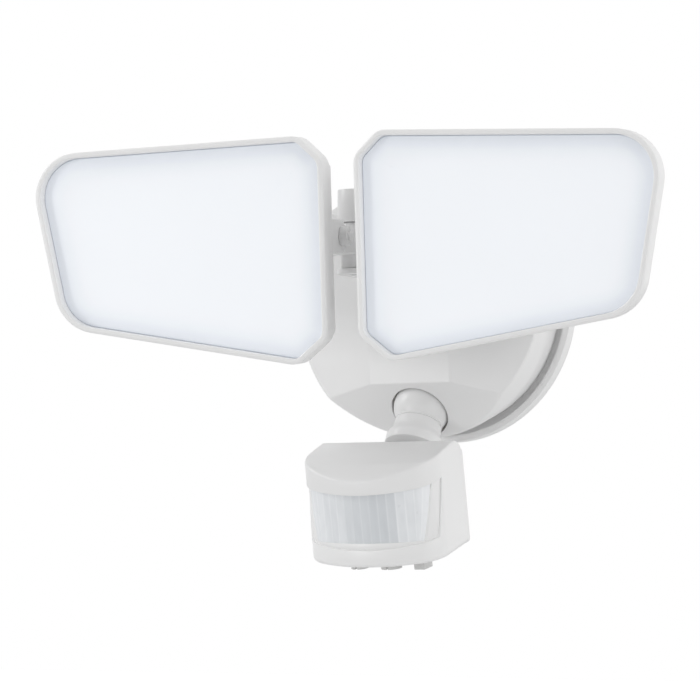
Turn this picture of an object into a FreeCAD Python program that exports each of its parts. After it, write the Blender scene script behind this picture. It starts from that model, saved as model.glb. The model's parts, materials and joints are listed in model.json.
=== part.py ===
"""Motion sensor security light: two flood heads and a sensor head on a round wall canopy.

Row frame in millimetres: the wall is the plane Y = 0, -Y points away from it, +X is to the
viewer's right, +Z is up.  The origin is the centre of the wall plate's back face.
"""
import FreeCAD
import Part
import Sketcher
import math
import os

Vector = FreeCAD.Vector
Rotation = FreeCAD.Rotation
Placement = FreeCAD.Placement

# ---------------------------------------------------------------- driving dimensions

SIZES = {
    # wall plate, its gasket, mounting bar and lead grommet
    "plate_radius": 66.0,
    "plate_rim_width": 3.4,
    "plate_rim_depth": 6.3,
    "plate_face": 3.0,
    "plate_web": 2.5,
    "spigot_wall": 2.5,
    "spigot_depth": 6.0,
    "spigot_gap": 0.4,
    "recess_radius": 50.0,
    "gasket_depth": 1.5,
    "gasket_margin": 4.0,
    "bar_thick": 2.0,
    "bar_length": 98.0,
    "bar_width": 19.0,
    "slot_spacing": 79.4,
    "slot_length": 14.4,
    "slot_width": 5.0,
    "lead_radius": 6.0,
    "lead_bore": 3.2,
    "lead_drop": 24.0,
    "lead_lip": 2.0,
    "lead_back_lip": 1.5,
    # canopy cover
    "cover_radius": 64.8,
    "cover_foot_radius": 58.6,
    "cover_depth": 47.0,
    "cover_shoulder": 27.0,
    "cover_wall": 2.5,
    "facet_half_width": 21.25,
    "facet_half_height": 39.3,
    "side_slope": 0.19,
    "end_slope": 0.812,
    "post_circle": 44.0,
    "post_radius": 4.0,
    "post_tap": 15.0,
    "tube_radius": 7.0,
    "bolt_radius": 2.5,
    "bolt_clearance": 0.3,
    "centre_head_radius": 4.6,
    "centre_head": 2.6,
    "plug_radius": 5.1,
    "plug_seat": 8.0,
    "plug_length": 4.8,
    "plug_inset": 0.2,
    # sensor socket in the lower facet
    "socket_drop": 17.2,
    "socket_margin": 0.6,
    "seat_wall": 3.4,
    "seat_depth": 3.4,
    "cup_depth": 12.0,
    "cup_wire_way": 5.0,
    "ear_offset": 7.2,
    "ear_thick": 2.0,
    "ear_half_width": 3.2,
    "ear_boss_radius": 3.0,
    "ball_radius": 13.8,
    "ball_depth": 4.0,
    "ball_gap": 0.3,
    # sensor arm
    "arm_lean": 27.4,
    "arm_length": 31.3,
    "arm_tube_radius": 11.3,
    "arm_skirt_radius": 13.8,
    "arm_waist": 14.0,
    "arm_flare": 4.0,
    "arm_skirt_low": 22.5,
    "arm_bore": 6.0,
    "arm_floor": 3.0,
    "tongue_half": 5.0,
    # driver electronics
    "board_low": 11.0,
    "board_tall": 28.5,
    "board_wide": 62.0,
    "board_front": 18.0,
    "board_thick": 1.6,
    "board_edge": 4.0,
    "spacer_radius": 2.6,
    # yoke and the two pan knuckles
    "pan_spacing": 34.0,
    "pan_forward": 70.25,
    "yoke_top": 51.5,
    "yoke_bottom": 11.5,
    "yoke_lower_ear": 2.5,
    "yoke_upper_ear": 15.5,
    "yoke_ear_radius": 8.0,
    "yoke_face": 60.0,
    "yoke_width": 48.0,
    "yoke_screw_across": 17.0,
    "yoke_screw_low": 16.5,
    "yoke_screw_high": 32.5,
    "barrel_radius": 6.5,
    "bolt_head_radius": 4.4,
    "pan_head": 3.4,
    "pan_head_sink": 4.2,
    "running_gap": 0.06,
    "side_gap": 0.3,
    "tilt_reach": 26.9,
    "tilt_height": 27.0,
    "tilt_offset": 8.0,
    "eye_width": 12.0,
    # flood heads
    "head_width": 143.7,
    "head_height": 106.8,
    "top_fall": 4.95,
    "outer_lean": 14.85,
    "outer_rise": 21.8,
    "top_chamfer": 11.6,
    "low_chamfer": 14.5,
    "corner_radius": 21.0,
    "nose_radius": 2.0,
    "rim_width": 2.1,
    "lens_recess": 5.3,
    "lens_thick": 2.0,
    "lens_gap": 0.15,
    "frame_depth": 11.7,
    "ledge_width": 6.0,
    "frame_boss": 3.4,
    "tray_inset": 5.0,
    "tray_wall": 2.5,
    "tray_depth": 19.5,
    "tray_back_wall": 3.0,
    "pillar_radius": 3.0,
    "pillar_inset": 4.0,
    "seal_thick": 0.8,
    "pivot_behind_rim": 46.0,
    "pivot_above_mid": 7.0,
    "pivot_inboard": 15.7,
    "lug_thick": 3.5,
    "lug_radius": 8.0,
    "tilt_head": 3.0,
    "tilt_nut_radius": 4.6,
    "tilt_nut_thick": 4.0,
    "fin_height": 5.0,
    "fin_thick": 1.8,
    "fin_pitch": 11.0,
    "fin_shrink": 3.2,
    "led_width": 3.5,
    "led_height": 2.8,
    "led_thick": 0.7,
    "led_margin": 0.6,
    "reflector_thick": 0.4,
    "reflector_inset": 10.0,
    "board_inset": 9.0,
    "left_pan": 11.6,
    "right_pan": 10.5,
    "left_tilt": 6.0,
    "right_tilt": 5.4,
    # sensor head, measured from its tilt pin
    "sensor_pitch": 11.3,
    "sensor_front": 53.7,
    "sensor_arc": 59.3,
    "sensor_corner": 15.0,
    "sensor_half_width": 35.0,
    "sensor_back": 12.0,
    "rear_thick": 2.2,
    "hood_kink": 44.9,
    "hood_kink_rise": 7.9,
    "hood_front_slope": 0.763,
    "hood_mid": 33.0,
    "hood_mid_rise": 11.6,
    "crest_forward": 20.0,
    "crest_rise": 14.1,
    "crest_round": 7.6,
    "floor_drop": 39.6,
    "floor_slope": 0.11,
    "sensor_wall": 2.0,
    "brow_drop": 5.4,
    "brow_slope": 0.28,
    "chin_tall": 8.2,
    "chin_slope": 0.3,
    "cheek_top": 35.2,
    "cheek_low": 39.8,
    "frame_inset": 0.9,
    "frame_thick": 1.4,
    "frame_side": 5.0,
    "film_inset": 1.5,
    "film_thick": 0.8,
    "film_lip": 3.3,
    "post_inset": 3.8,
    "post_fall": 10.6,
    "post_lift": 6.0,
    "sensor_post_radius": 2.6,
    "sensor_post": 14.0,
    "sensor_board_forward": 20.7,
    "sensor_board_tall": 34.0,
    "sensor_board_lift": 2.0,
    "pin_radius": 2.0,
    "pin_head_radius": 3.6,
    "pin_head": 2.2,
    "pin_nut_radius": 3.8,
    "pin_nut_thick": 3.0,
    "pin_lug_radius": 5.5,
    # knobs under the sensor head
    "knob_forward": 26.7,
    "knob_pitch": 16.8,
    "knob_height": 7.1,
    "knob_shaft": 2.3,
    "knob_shaft_top": 3.3,
    "time_knob_radius": 4.2,
    "range_knob_radius": 5.0,
    "knob_slot_width": 1.2,
    "knob_slot_depth": 1.4,
    "switch_width": 5.6,
    "switch_depth": 8.4,
    "stem_width": 4.4,
    "stem_depth": 2.8,
    "switch_travel": 3.0,
}

# Thread radius, head radius and head height of each kind of screw.
SCREWS = {
    "cover": (1.5, 2.9, 1.6),
    "cup": (1.15, 2.4, 1.4),
    "yoke": (1.15, 2.8, 1.5),
    "board": (1.25, 2.4, 1.6),
    "head": (1.15, 2.6, 1.5),
    "sensor": (0.98, 2.0, 1.2),
}
TAP_GAP = 0.05      # between a thread and the hole it bites in
CLEAR_GAP = 0.3     # between a thread and the hole it passes through
SLIP = 0.1          # between a rubber or plug and its hole
COVER_FIT = 0.2     # between the cover's inner wall and what is screwed against it
OVERCUT = 1.0       # how far a cutter stands out of the face that it opens
THROUGH = 60.0      # reach of a cutter to each side of where it starts
YOKE_SCREW_HOLD = 7.5

# Blocks on the driver board: left edge, height above the board's low edge, width, depth, height.
COMPONENTS = {
    "core": (-19.0, 3.0, 20.0, 15.0, 22.0),
    "left_window": (-17.0, 7.0, 4.0, 17.0, 14.0),
    "right_window": (-5.0, 7.0, 4.0, 17.0, 14.0),
    "relay": (-28.0, 8.0, 7.0, 10.0, 12.0),
    "terminals": (17.3, 7.0, 7.0, 9.0, 14.0),
}
CAN_RADIUS = 5.0
CAN_HEIGHT = 16.0
CAN_SPOTS = ((12.0, 8.0), (12.0, 20.0))
WAY_RADIUS = 1.6
WAY_DEPTH = 4.0
WAY_PITCH = 4.4

# The knuckle's arm: how far its cross piece stands from the pan axis, and how deep it is.
KNUCKLE_BACK = 4.0
KNUCKLE_DEEP = 10.0

# Shares of a head's width or height at which its screws stand.
INNER_SCREWS = (0.28, -0.25)
TOP_SCREWS = (0.4, 0.8)
LOW_SCREWS = (0.35, 0.75)
OUTER_END = 0.7

# The diodes' rows, and their places as shares of a head's width and height.
LED_COLUMNS = 6
LED_ROWS = 4
LED_START = 0.2
LED_PITCH_ACROSS = 0.11
LED_PITCH_UP = 0.155
LED_LIFT = 0.035

# The cooling fins: how many, where the first stands and how tall it is, as shares of the head.
FINS = 8
FIN_START = 0.28
FIN_SHARE = 0.6
FIN_RISE = 0.9

# The notch in the arm's skirt.
NOTCH_WIDE = 9.0
NOTCH_DEEP = 5.8
NOTCH_TALL = 8.0

# What stands on the sensor's board.
EYE_RADIUS = 4.6
EYE_TALL = 4.2
EYE_FLANGE = 5.0
EYE_FLANGE_TALL = 0.6
CELL_RADIUS = 2.5
CELL_TALL = 2.2
CELL_ACROSS = 16.0
CELL_RISE = 4.0
SEAT_WIDE = 8.4
SEAT_TALL = 3.6

NEARLY_ONE = 0.99
NEARLY_ZERO = 0.01

doc = FreeCAD.newDocument("SecurityLight")
sheet = doc.addObject("Spreadsheet::Sheet", "sizes")
for row, (alias, amount) in enumerate(SIZES.items(), 1):
    sheet.set(f"A{row}", alias)
    sheet.set(f"B{row}", str(amount))
    sheet.setAlias(f"B{row}", alias)
doc.recompute()


class Size:
    """A size that carries its number and the formula that the document keeps."""

    def __init__(self, value, text):
        self.value = float(value)
        self.text = text

    def __add__(self, other):
        other = size(other)
        return Size(self.value + other.value, f"({self.text} + {other.text})")

    def __sub__(self, other):
        other = size(other)
        return Size(self.value - other.value, f"({self.text} - {other.text})")

    def __mul__(self, other):
        other = size(other)
        return Size(self.value * other.value, f"{self.text} * {other.text}")

    def __truediv__(self, other):
        other = size(other)
        return Size(self.value / other.value, f"{self.text} / {other.text}")

    def __radd__(self, other):
        return size(other) + self

    def __rsub__(self, other):
        return size(other) - self

    def __rmul__(self, other):
        return size(other) * self

    def __neg__(self):
        return Size(-self.value, f"(0 - {self.text})")


def size(amount):
    """A plain number as a Size; a Size stays as it is."""
    if isinstance(amount, Size):
        return amount
    return Size(amount, f"({amount!r})")


class Sheet:
    """The sheet's cells as attributes, each a Size."""

    def __getattr__(self, alias):
        return Size(sheet.get(alias), f"sizes.{alias}")


S = Sheet()


def bind(item, name, amount):
    """Bind one property of an object to a formula of the sheet."""
    item.setExpression(name, size(amount).text)


# ---------------------------------------------------------------- building blocks

NODES = []
COUNTS = {}
WRAPPED = ("Part::Box", "Part::Cylinder", "Part::Sphere", "Part::Cone", "Part::Extrusion")

# Turns that point a part's own Z axis one way along an axis.
TURNS = {
    "+z": Rotation(),
    "-z": Rotation(Vector(1, 0, 0), 180),
    "+y": Rotation(Vector(1, 0, 0), -90),
    "-y": Rotation(Vector(1, 0, 0), 90),
    "+x": Rotation(Vector(0, 1, 0), 90),
    "-x": Rotation(Vector(0, 1, 0), -90),
}

# Turns that lay a sketch in a plane: its own X and Y become the two letters' axes.
PLANES = {
    "xy": Rotation(),
    "xz": Rotation(Vector(1, 0, 0), 90),
    "yz": Rotation(Vector(1, 1, 1), 120),
}


def fresh(kind, name):
    """A new document object with a numbered name."""
    COUNTS[name] = COUNTS.get(name, 0) + 1
    return doc.addObject(kind, f"{name}_{COUNTS[name]}")


def move(item, at):
    """Bind where an object stands."""
    for axis, amount in zip("xyz", at):
        bind(item, f"Placement.Base.{axis}", amount)


def block(low, span, name="block"):
    """A box from its low corner and its three lengths."""
    item = fresh("Part::Box", name)
    for side, amount in zip(("Length", "Width", "Height"), span):
        bind(item, side, amount)
    move(item, low)
    return item


def rod(radius, length, at, way="+z", name="rod"):
    """A cylinder that starts at a point and runs one way along an axis."""
    item = fresh("Part::Cylinder", name)
    bind(item, "Radius", radius)
    bind(item, "Height", length)
    item.Placement.Rotation = TURNS[way]
    move(item, at)
    return item


def bore(radius, at, way, name="bore"):
    """A cutter that runs right through along an axis, both ways from a point."""
    axis = TURNS[way].multVec(Vector(0, 0, 1))
    start = tuple(size(place) - THROUGH * round(part) for place, part in zip(at, axis))
    return rod(radius, 2 * THROUGH, start, way, name)


def cone(radius, end_radius, length, at, way="+z", name="cone"):
    """A cone frustum that starts at a point and runs one way along an axis."""
    item = fresh("Part::Cone", name)
    bind(item, "Radius1", radius)
    bind(item, "Radius2", end_radius)
    bind(item, "Height", length)
    item.Placement.Rotation = TURNS[way]
    move(item, at)
    return item


def ball(radius, at, name="ball"):
    """A sphere about a point."""
    item = fresh("Part::Sphere", name)
    bind(item, "Radius", radius)
    move(item, at)
    return item


def fuse(*items, name="fuse"):
    """One solid out of several that share volume."""
    item = fresh("Part::MultiFuse", name)
    item.Shapes = list(items)
    item.Refine = False
    return item


def cut(base, *tools, name="cut"):
    """A base less its tools."""
    item = fresh("Part::Cut", name)
    item.Base = base
    item.Tool = tools[0] if len(tools) == 1 else group(*tools)
    item.Refine = False
    return item


def common(*items, name="common"):
    """What several solids share."""
    item = fresh("Part::MultiCommon", name)
    item.Shapes = list(items)
    item.Refine = False
    return item


def group(*items, name="group"):
    """Several separate solids held as one object."""
    item = fresh("Part::Compound", name)
    item.Links = list(items)
    return item


def placed(item, frame):
    """An object set in a frame."""
    holder = group(item, name="placed")
    holder.Placement = frame
    return holder


def polygon(points, plane, name="outline"):
    """A closed sketch in a plane of the document, with every corner bound to the sheet."""
    sketch = fresh("Sketcher::SketchObject", name)
    sketch.Placement.Rotation = PLANES[plane]
    draw_polygon(sketch, points)
    return sketch


def draw_polygon(sketch, points):
    """Straight sides through the given corners, each corner dimensioned from the origin."""
    points = [(size(x), size(y)) for x, y in points]
    first = sketch.GeometryCount
    count = len(points)
    for number in range(count):
        start, end = points[number], points[(number + 1) % count]
        start_point = Vector(start[0].value, start[1].value, 0)
        end_point = Vector(end[0].value, end[1].value, 0)
        sketch.addGeometry(Part.LineSegment(start_point, end_point), False)
    for number in range(count):
        follower = first + (number + 1) % count
        sketch.addConstraint(Sketcher.Constraint("Coincident", first + number, 2, follower, 1))
    for number, corner in enumerate(points):
        pin_point(sketch, first + number, corner)


def pin_point(sketch, element, corner):
    """Dimension the start of one side of a sketch from the sketch's origin."""
    for kind, axis, amount in (("DistanceX", -2, corner[0]), ("DistanceY", -1, corner[1])):
        if abs(amount.value) < 1e-9:
            sketch.addConstraint(Sketcher.Constraint("PointOnObject", element, 1, axis))
            continue
        number = sketch.addConstraint(Sketcher.Constraint(kind, -1, 1, element, 1, amount.value))
        sketch.setExpression(f"Constraints[{number}]", amount.text)


def prism(sketch, way, length, at=(0, 0, 0), name="prism"):
    """A sketch swept straight along a direction, then set at a place."""
    item = fresh("Part::Extrusion", name)
    item.Base = sketch
    item.DirMode = "Custom"
    item.Dir = Vector(*way)
    bind(item, "LengthFwd", length)
    item.Solid = True
    move(item, at)
    return item


def wide_prism(side_view, half, name="side_view"):
    """A (Y, Z) outline swept across X, half to each side."""
    return prism(polygon(side_view, "yz"), (1, 0, 0), 2 * half, (-half, 0, 0), name)


def shrink(sketch, amount):
    """A sketch's outline moved in by an amount."""
    item = fresh("Part::Offset2D", "inset")
    item.Source = sketch
    item.Join = 2
    bind(item, "Value", -size(amount))
    return item


def round_edges(base, chosen, name="rounded"):
    """Fillet the edges of a solid that a chooser gives a radius for."""
    doc.recompute()
    item = fresh("Part::Fillet", name)
    item.Base = base
    edges = []
    for number, edge in enumerate(base.Shape.Edges, 1):
        radius = chosen(edge)
        if radius:
            edges.append((number, radius, radius))
    item.Edges = edges
    return item


def turned(name, profile):
    """A body turned about the Y axis from (radius, Y) corners."""
    part_body = fresh("PartDesign::Body", name)
    origin = {feature.Role: feature for feature in part_body.Origin.OriginFeatures}
    sketch = part_body.newObject("Sketcher::SketchObject", f"{part_body.Name}_profile")
    sketch.AttachmentSupport = (origin["XY_Plane"], [""])
    sketch.MapMode = "FlatFace"
    draw_polygon(sketch, profile)
    feature = part_body.newObject("PartDesign::Revolution", f"{part_body.Name}_turn")
    feature.Profile = sketch
    feature.ReferenceAxis = (origin["Y_Axis"], [""])
    feature.Angle = 360
    part_body.Tip = feature
    return part_body


def node(label, item, frame=None):
    """Name a finished sub-part and set it in its frame."""
    if item.TypeId in WRAPPED:
        item = group(item)
    item.Label = label
    if frame is not None:
        item.Placement = frame
    NODES.append(item)
    return item


def headed(length, radius, head_radius, head, at, way, name="bolt"):
    """A bolt whose head ends at a point, and whose shank runs one way from there."""
    axis = TURNS[way].multVec(Vector(0, 0, 1))
    back = tuple(size(place) - head * round(part) for place, part in zip(at, axis))
    shank = rod(radius, length, at, way, name)
    top = rod(head_radius, head, back, way, name)
    return fuse(shank, top, name=name)


def screw(kind, length, at, way):
    """A pan-head screw of a kind, its head's underside at a point."""
    radius, head_radius, head = SCREWS[kind]
    return headed(length, radius, head_radius, head, at, way, "screw")


def tap(kind):
    """Radius of the hole that a kind of screw bites in."""
    return SCREWS[kind][0] + TAP_GAP


def clear(kind):
    """Radius of the hole that a kind of screw passes through."""
    return SCREWS[kind][0] + CLEAR_GAP


# ---------------------------------------------------------------- frames of the moving groups

def side_name(side):
    """The name of a side: -1 is left and 1 is right."""
    return "right" if side > 0 else "left"


def pan_frame(side):
    """Frame of one knuckle: on its pan axis at the height of the origin, panned as at rest."""
    angle = S.right_pan if side > 0 else S.left_pan
    turn = Rotation(Vector(0, 0, 1), angle.value)
    spot = Vector(side * S.pan_spacing.value / 2, -S.pan_forward.value, 0)
    return Placement(spot, turn)


def head_frame(side):
    """Frame of one flood head: on its tilt axis, panned and tilted as at rest."""
    angle = S.right_tilt if side > 0 else S.left_tilt
    turn = Rotation(Vector(1, 0, 0), angle.value)
    spot = Vector(side * S.tilt_offset.value, -S.tilt_reach.value, S.tilt_height.value)
    return pan_frame(side).multiply(Placement(spot, turn))


def facet_frame():
    """Frame on the lower facet: its origin at the socket's centre, -Y out of the facet."""
    slope = math.atan(S.end_slope.value)
    down = Vector(0, math.sin(slope), -math.cos(slope))
    crease = Vector(0, -S.cover_depth.value, -S.facet_half_height.value)
    turn = Rotation(Vector(1, 0, 0), math.degrees(slope))
    return Placement(crease + down * S.socket_drop.value, turn)


def arm_frame():
    """Frame of the sensor's arm: on the ball's centre, -Z down along the arm."""
    centre = facet_frame().multVec(Vector(0, S.ball_depth.value, 0))
    return Placement(centre, Rotation(Vector(1, 0, 0), -S.arm_lean.value))


def sensor_frame():
    """Frame of the sensor head: on its tilt pin, pitched as at rest."""
    pivot = arm_frame().multVec(Vector(0, 0, -S.arm_length.value))
    return Placement(pivot, Rotation(Vector(1, 0, 0), S.sensor_pitch.value))


# ---------------------------------------------------------------- canopy cover

POST_ANGLES = (90, 210, 330)


def canopy_form(grow, name):
    """The canopy's outer form, or with a negative growth the cavity inside its wall.

    A turned drum with an undercut foot, met by a flat front and by sloping side, top and
    bottom facets.
    """
    shift = size(grow)
    front = -(S.cover_depth + shift)
    profile = [
        (0, front),
        (S.cover_radius + shift, front),
        (S.cover_radius + shift, -S.cover_shoulder),
        (S.cover_foot_radius + shift, -S.plate_face),
        (0, -S.plate_face),
    ]
    drum = turned(name, profile)
    reach = S.plate_radius * 1.1
    side_back = front + (reach - S.facet_half_width) * S.side_slope
    end_back = front + (reach - S.facet_half_height) * S.end_slope
    across = [
        (-reach, 0),
        (-reach, side_back),
        (-S.facet_half_width, front),
        (S.facet_half_width, front),
        (reach, side_back),
        (reach, 0),
    ]
    upright = [
        (0, -reach),
        (end_back, -reach),
        (front, -S.facet_half_height),
        (front, S.facet_half_height),
        (end_back, reach),
        (0, reach),
    ]
    sides = prism(polygon(across, "xy"), (0, 0, 1), 2 * reach, (0, 0, -reach))
    return common(drum, sides, wide_prism(upright, reach), name=name)


def web_front():
    """How far the front of the wall plate's web stands off the wall."""
    return S.bar_thick + S.plate_web


def post_spots():
    """Centres (X, Z) of the three posts that join the cover to the wall plate."""
    for angle in POST_ANGLES:
        across = S.post_circle * round(math.cos(math.radians(angle)), 9)
        upward = S.post_circle * round(math.sin(math.radians(angle)), 9)
        yield across, upward


def ear_spots():
    """X of the two screws that hold the spring cup, in the facet's frame."""
    reach = S.ball_radius + S.ear_offset
    return [-reach, reach]


def make_cover():
    """The faceted cover with its posts, centre tube, cup bosses and socket hole."""
    outer = canopy_form(0, "cover_form")
    cavity = canopy_form(-S.cover_wall, "cover_cavity")
    facet = facet_frame()
    base = -web_front()
    long = S.cover_depth - web_front()
    boss_long = S.cover_wall + S.seat_depth - CLEAR_GAP
    inside = [rod(S.post_radius, long, (x, base, z), "-y", "post") for x, z in post_spots()]
    inside.append(rod(S.tube_radius, long, (0, base, 0), "-y", "tube"))
    for x in ear_spots():
        inside.append(placed(rod(S.ear_boss_radius, boss_long, (x, boss_long, 0), "-y"), facet))
    shell = fuse(cut(outer, cavity), common(outer, group(*inside)))

    holes = [
        rod(tap("cover"), S.post_tap + OVERCUT, (x, OVERCUT + base, z), "-y")
        for x, z in post_spots()
    ]
    holes.append(bore(S.bolt_radius + S.bolt_clearance, (0, 0, 0), "-y"))
    plug_floor = (0, S.plug_seat - S.cover_depth, 0)
    holes.append(rod(S.plug_radius + SLIP, S.plug_seat + OVERCUT, plug_floor, "-y"))
    holes += [bore(clear("yoke"), (x, 0, z), "-y") for x, z in yoke_screw_spots()]
    deep = S.cover_wall + S.seat_depth
    socket = rod(S.ball_radius + S.socket_margin, 2 * deep, (0, deep, 0), "-y")
    holes.append(placed(socket, facet))
    holes.append(placed(ball(S.ball_radius + S.ball_gap, (0, S.ball_depth, 0)), facet))
    for x in ear_spots():
        blind = rod(tap("cup"), boss_long - OVERCUT, (x, boss_long, 0), "-y")
        holes.append(placed(blind, facet))
    node("canopy_cover", cut(shell, *holes))


# ---------------------------------------------------------------- wall plate and fixings

def make_wall_plate():
    """The round plate on the wall, with the spigot that centres the cover."""
    spigot = S.cover_foot_radius - S.cover_wall - S.spigot_gap
    spigot_front = -(S.plate_face + S.spigot_depth)
    rim_inside = S.plate_radius - S.plate_rim_width
    profile = [
        (0, -S.bar_thick),
        (S.recess_radius, -S.bar_thick),
        (S.recess_radius, 0),
        (S.plate_radius, 0),
        (S.plate_radius, -S.plate_rim_depth),
        (rim_inside, -S.plate_rim_depth),
        (rim_inside, -S.plate_face),
        (spigot, -S.plate_face),
        (spigot, spigot_front),
        (spigot - S.spigot_wall, spigot_front),
        (spigot - S.spigot_wall, -web_front()),
        (0, -web_front()),
    ]
    plate = turned("plate_form", profile)
    tools = [gasket_ring(0), bore(S.bolt_radius + S.bolt_clearance, (0, 0, 0), "-y")]
    tools.append(bore(S.lead_radius, (0, 0, -S.lead_drop), "-y"))
    tools += [bore(clear("cover"), (x, 0, z), "-y") for x, z in post_spots()]
    tools += wall_slots()
    node("wall_plate", cut(plate, *tools))
    node("wall_gasket", gasket_ring(SLIP))


def gasket_ring(slack):
    """The ring of the gasket, or with no slack the groove that it lies in."""
    outer = S.plate_radius - S.gasket_margin - slack
    inner = S.recess_radius + S.gasket_margin + slack
    ring = rod(outer, S.gasket_depth, (0, 0, 0), "-y")
    return cut(ring, bore(inner, (0, 0, 0), "-y"))


def wall_slots():
    """Cutters for the two round-ended slots that take the wall box's screws."""
    straight = S.slot_length - S.slot_width
    cutters = []
    for side in (-1, 1):
        middle = side * S.slot_spacing / 2
        low = (middle - straight / 2, -THROUGH, -S.slot_width / 2)
        cutters.append(block(low, (straight, 2 * THROUGH, S.slot_width)))
        for end in (-1, 1):
            cutters.append(bore(S.slot_width / 2, (middle + end * straight / 2, 0, 0), "-y"))
    return cutters


def make_fixings():
    """The mounting bar, centre bolt with its plug, cover screws and lead grommet."""
    low = (-S.bar_length / 2, -S.bar_thick, -S.bar_width / 2)
    bar = block(low, (S.bar_length, S.bar_thick, S.bar_width))
    node("mounting_bar", cut(bar, bore(S.bolt_radius, (0, 0, 0), "-y"), *wall_slots()))
    bolt_start = S.plug_seat - S.cover_depth
    bolt = headed(
        -bolt_start, S.bolt_radius, S.centre_head_radius, S.centre_head, (0, bolt_start, 0), "+y"
    )
    node("centre_bolt", bolt)
    plug_back = (0, S.plug_length + S.plug_inset - S.cover_depth, 0)
    node("bolt_plug", rod(S.plug_radius, S.plug_length, plug_back, "-y", "plug"))
    long = S.plate_web + S.post_tap - 2 * OVERCUT
    screws = [screw("cover", long, (x, -S.bar_thick, z), "-y") for x, z in post_spots()]
    node("cover_screws", group(*screws))
    lead = -S.lead_drop
    flange = S.lead_radius + S.lead_lip
    grommet = fuse(
        rod(S.lead_radius - SLIP, S.plate_web, (0, -S.bar_thick, lead), "-y"),
        rod(flange, S.lead_lip, (0, -web_front(), lead), "-y"),
        rod(flange, S.lead_back_lip, (0, S.lead_back_lip - S.bar_thick, lead), "-y"),
    )
    node("lead_grommet", cut(grommet, bore(S.lead_bore, (0, 0, lead), "-y")))


# ---------------------------------------------------------------- sensor socket

def make_socket():
    """Seat ring and spring cup that hold the arm's ball behind the lower facet."""
    facet = facet_frame()
    fitted = canopy_form(-(S.cover_wall + COVER_FIT), "cover_fitted")
    plate_front = S.plate_face + S.spigot_depth + S.side_gap
    room = cut(fitted, rod(S.plate_radius, plate_front, (0, 0, 0), "-y"))
    hollow = ball(S.ball_radius + S.ball_gap, (0, S.ball_depth, 0))
    outer = S.ball_radius + S.seat_wall
    seat_back = S.cover_wall + S.seat_depth
    seat = rod(outer, S.seat_depth, (0, seat_back, 0), "-y")
    ring = cut(seat, hollow, bore(S.ball_radius, (0, 0, 0), "-y"))
    node("socket_seat", common(room, placed(ring, facet)))
    cup = rod(outer, S.cup_depth, (0, seat_back + S.cup_depth, 0), "-y")
    half = S.ball_radius + S.ear_offset + S.ear_boss_radius
    low = (-half, seat_back, -S.ear_half_width)
    ears = block(low, (2 * half, S.ear_thick, 2 * S.ear_half_width))
    holes = [bore(clear("cup"), (x, 0, 0), "-y") for x in ear_spots()]
    shape = cut(fuse(cup, ears), hollow, bore(S.cup_wire_way, (0, 0, 0), "-y"), *holes)
    node("socket_cup", common(room, placed(shape, facet)))
    top = seat_back + S.ear_thick
    long = S.ear_thick + S.seat_depth
    screws = [screw("cup", long, (x, top, 0), "-y") for x in ear_spots()]
    node("cup_screws", group(*screws), facet)


# ---------------------------------------------------------------- driver electronics

def make_driver():
    """The driver board and what stands on it, inside the canopy above the centre bolt."""
    thick = S.board_thick
    low = S.board_low
    front = -S.board_front
    board = block((-S.board_wide / 2, front, low), (S.board_wide, thick, S.board_tall))
    across = S.board_wide / 2 - S.board_edge
    heights = (low + S.board_edge, low + S.board_tall - S.board_edge)
    spots = [(side * across, height) for side in (-1, 1) for height in heights]
    drills = [bore(clear("board"), (x, 0, z), "-y") for x, z in spots]
    node("driver_board", cut(board, *drills))
    long = S.board_front - thick - web_front()
    spacers = [rod(S.spacer_radius, long, (x, -web_front(), z), "-y") for x, z in spots]
    taps = [bore(tap("board"), (x, 0, z), "-y") for x, z in spots]
    node("board_spacers", cut(group(*spacers), *taps))
    screws = [screw("board", thick + long / 2, (x, front, z), "+y") for x, z in spots]
    node("board_screws", group(*screws))
    make_components(front, low)


def on_board(part, front, low):
    """A block that stands on the driver board's front, from its row of COMPONENTS."""
    across, above, width, depth, height = COMPONENTS[part]
    return block((across, front - depth, low + above), (width, depth, height))


def make_components(front, low):
    """Transformer, capacitors, relay and terminal block, from the board's front and low edge."""
    core = on_board("core", front, low)
    windows = [on_board("left_window", front, low), on_board("right_window", front, low)]
    node("driver_transformer", cut(core, *windows))
    cans = [rod(CAN_RADIUS, CAN_HEIGHT, (x, front, low + up), "-y") for x, up in CAN_SPOTS]
    node("driver_capacitors", group(*cans))
    node("driver_relay", on_board("relay", front, low))
    across, above, width, depth, height = COMPONENTS["terminals"]
    ways = []
    for number in (-1, 0, 1):
        upward = low + above + height / 2 + number * WAY_PITCH
        spot = (across + width / 2, front - depth - OVERCUT, upward)
        ways.append(rod(WAY_RADIUS, WAY_DEPTH + OVERCUT, spot, "+y"))
    node("terminal_block", cut(on_board("terminals", front, low), *ways))


# ---------------------------------------------------------------- yoke and knuckles

def yoke_screw_spots():
    """Centres (X, Z) of the four screws that hold the yoke to the cover's front."""
    heights = (S.yoke_screw_low, S.yoke_screw_high)
    return [(side * S.yoke_screw_across, height) for side in (-1, 1) for height in heights]


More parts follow.
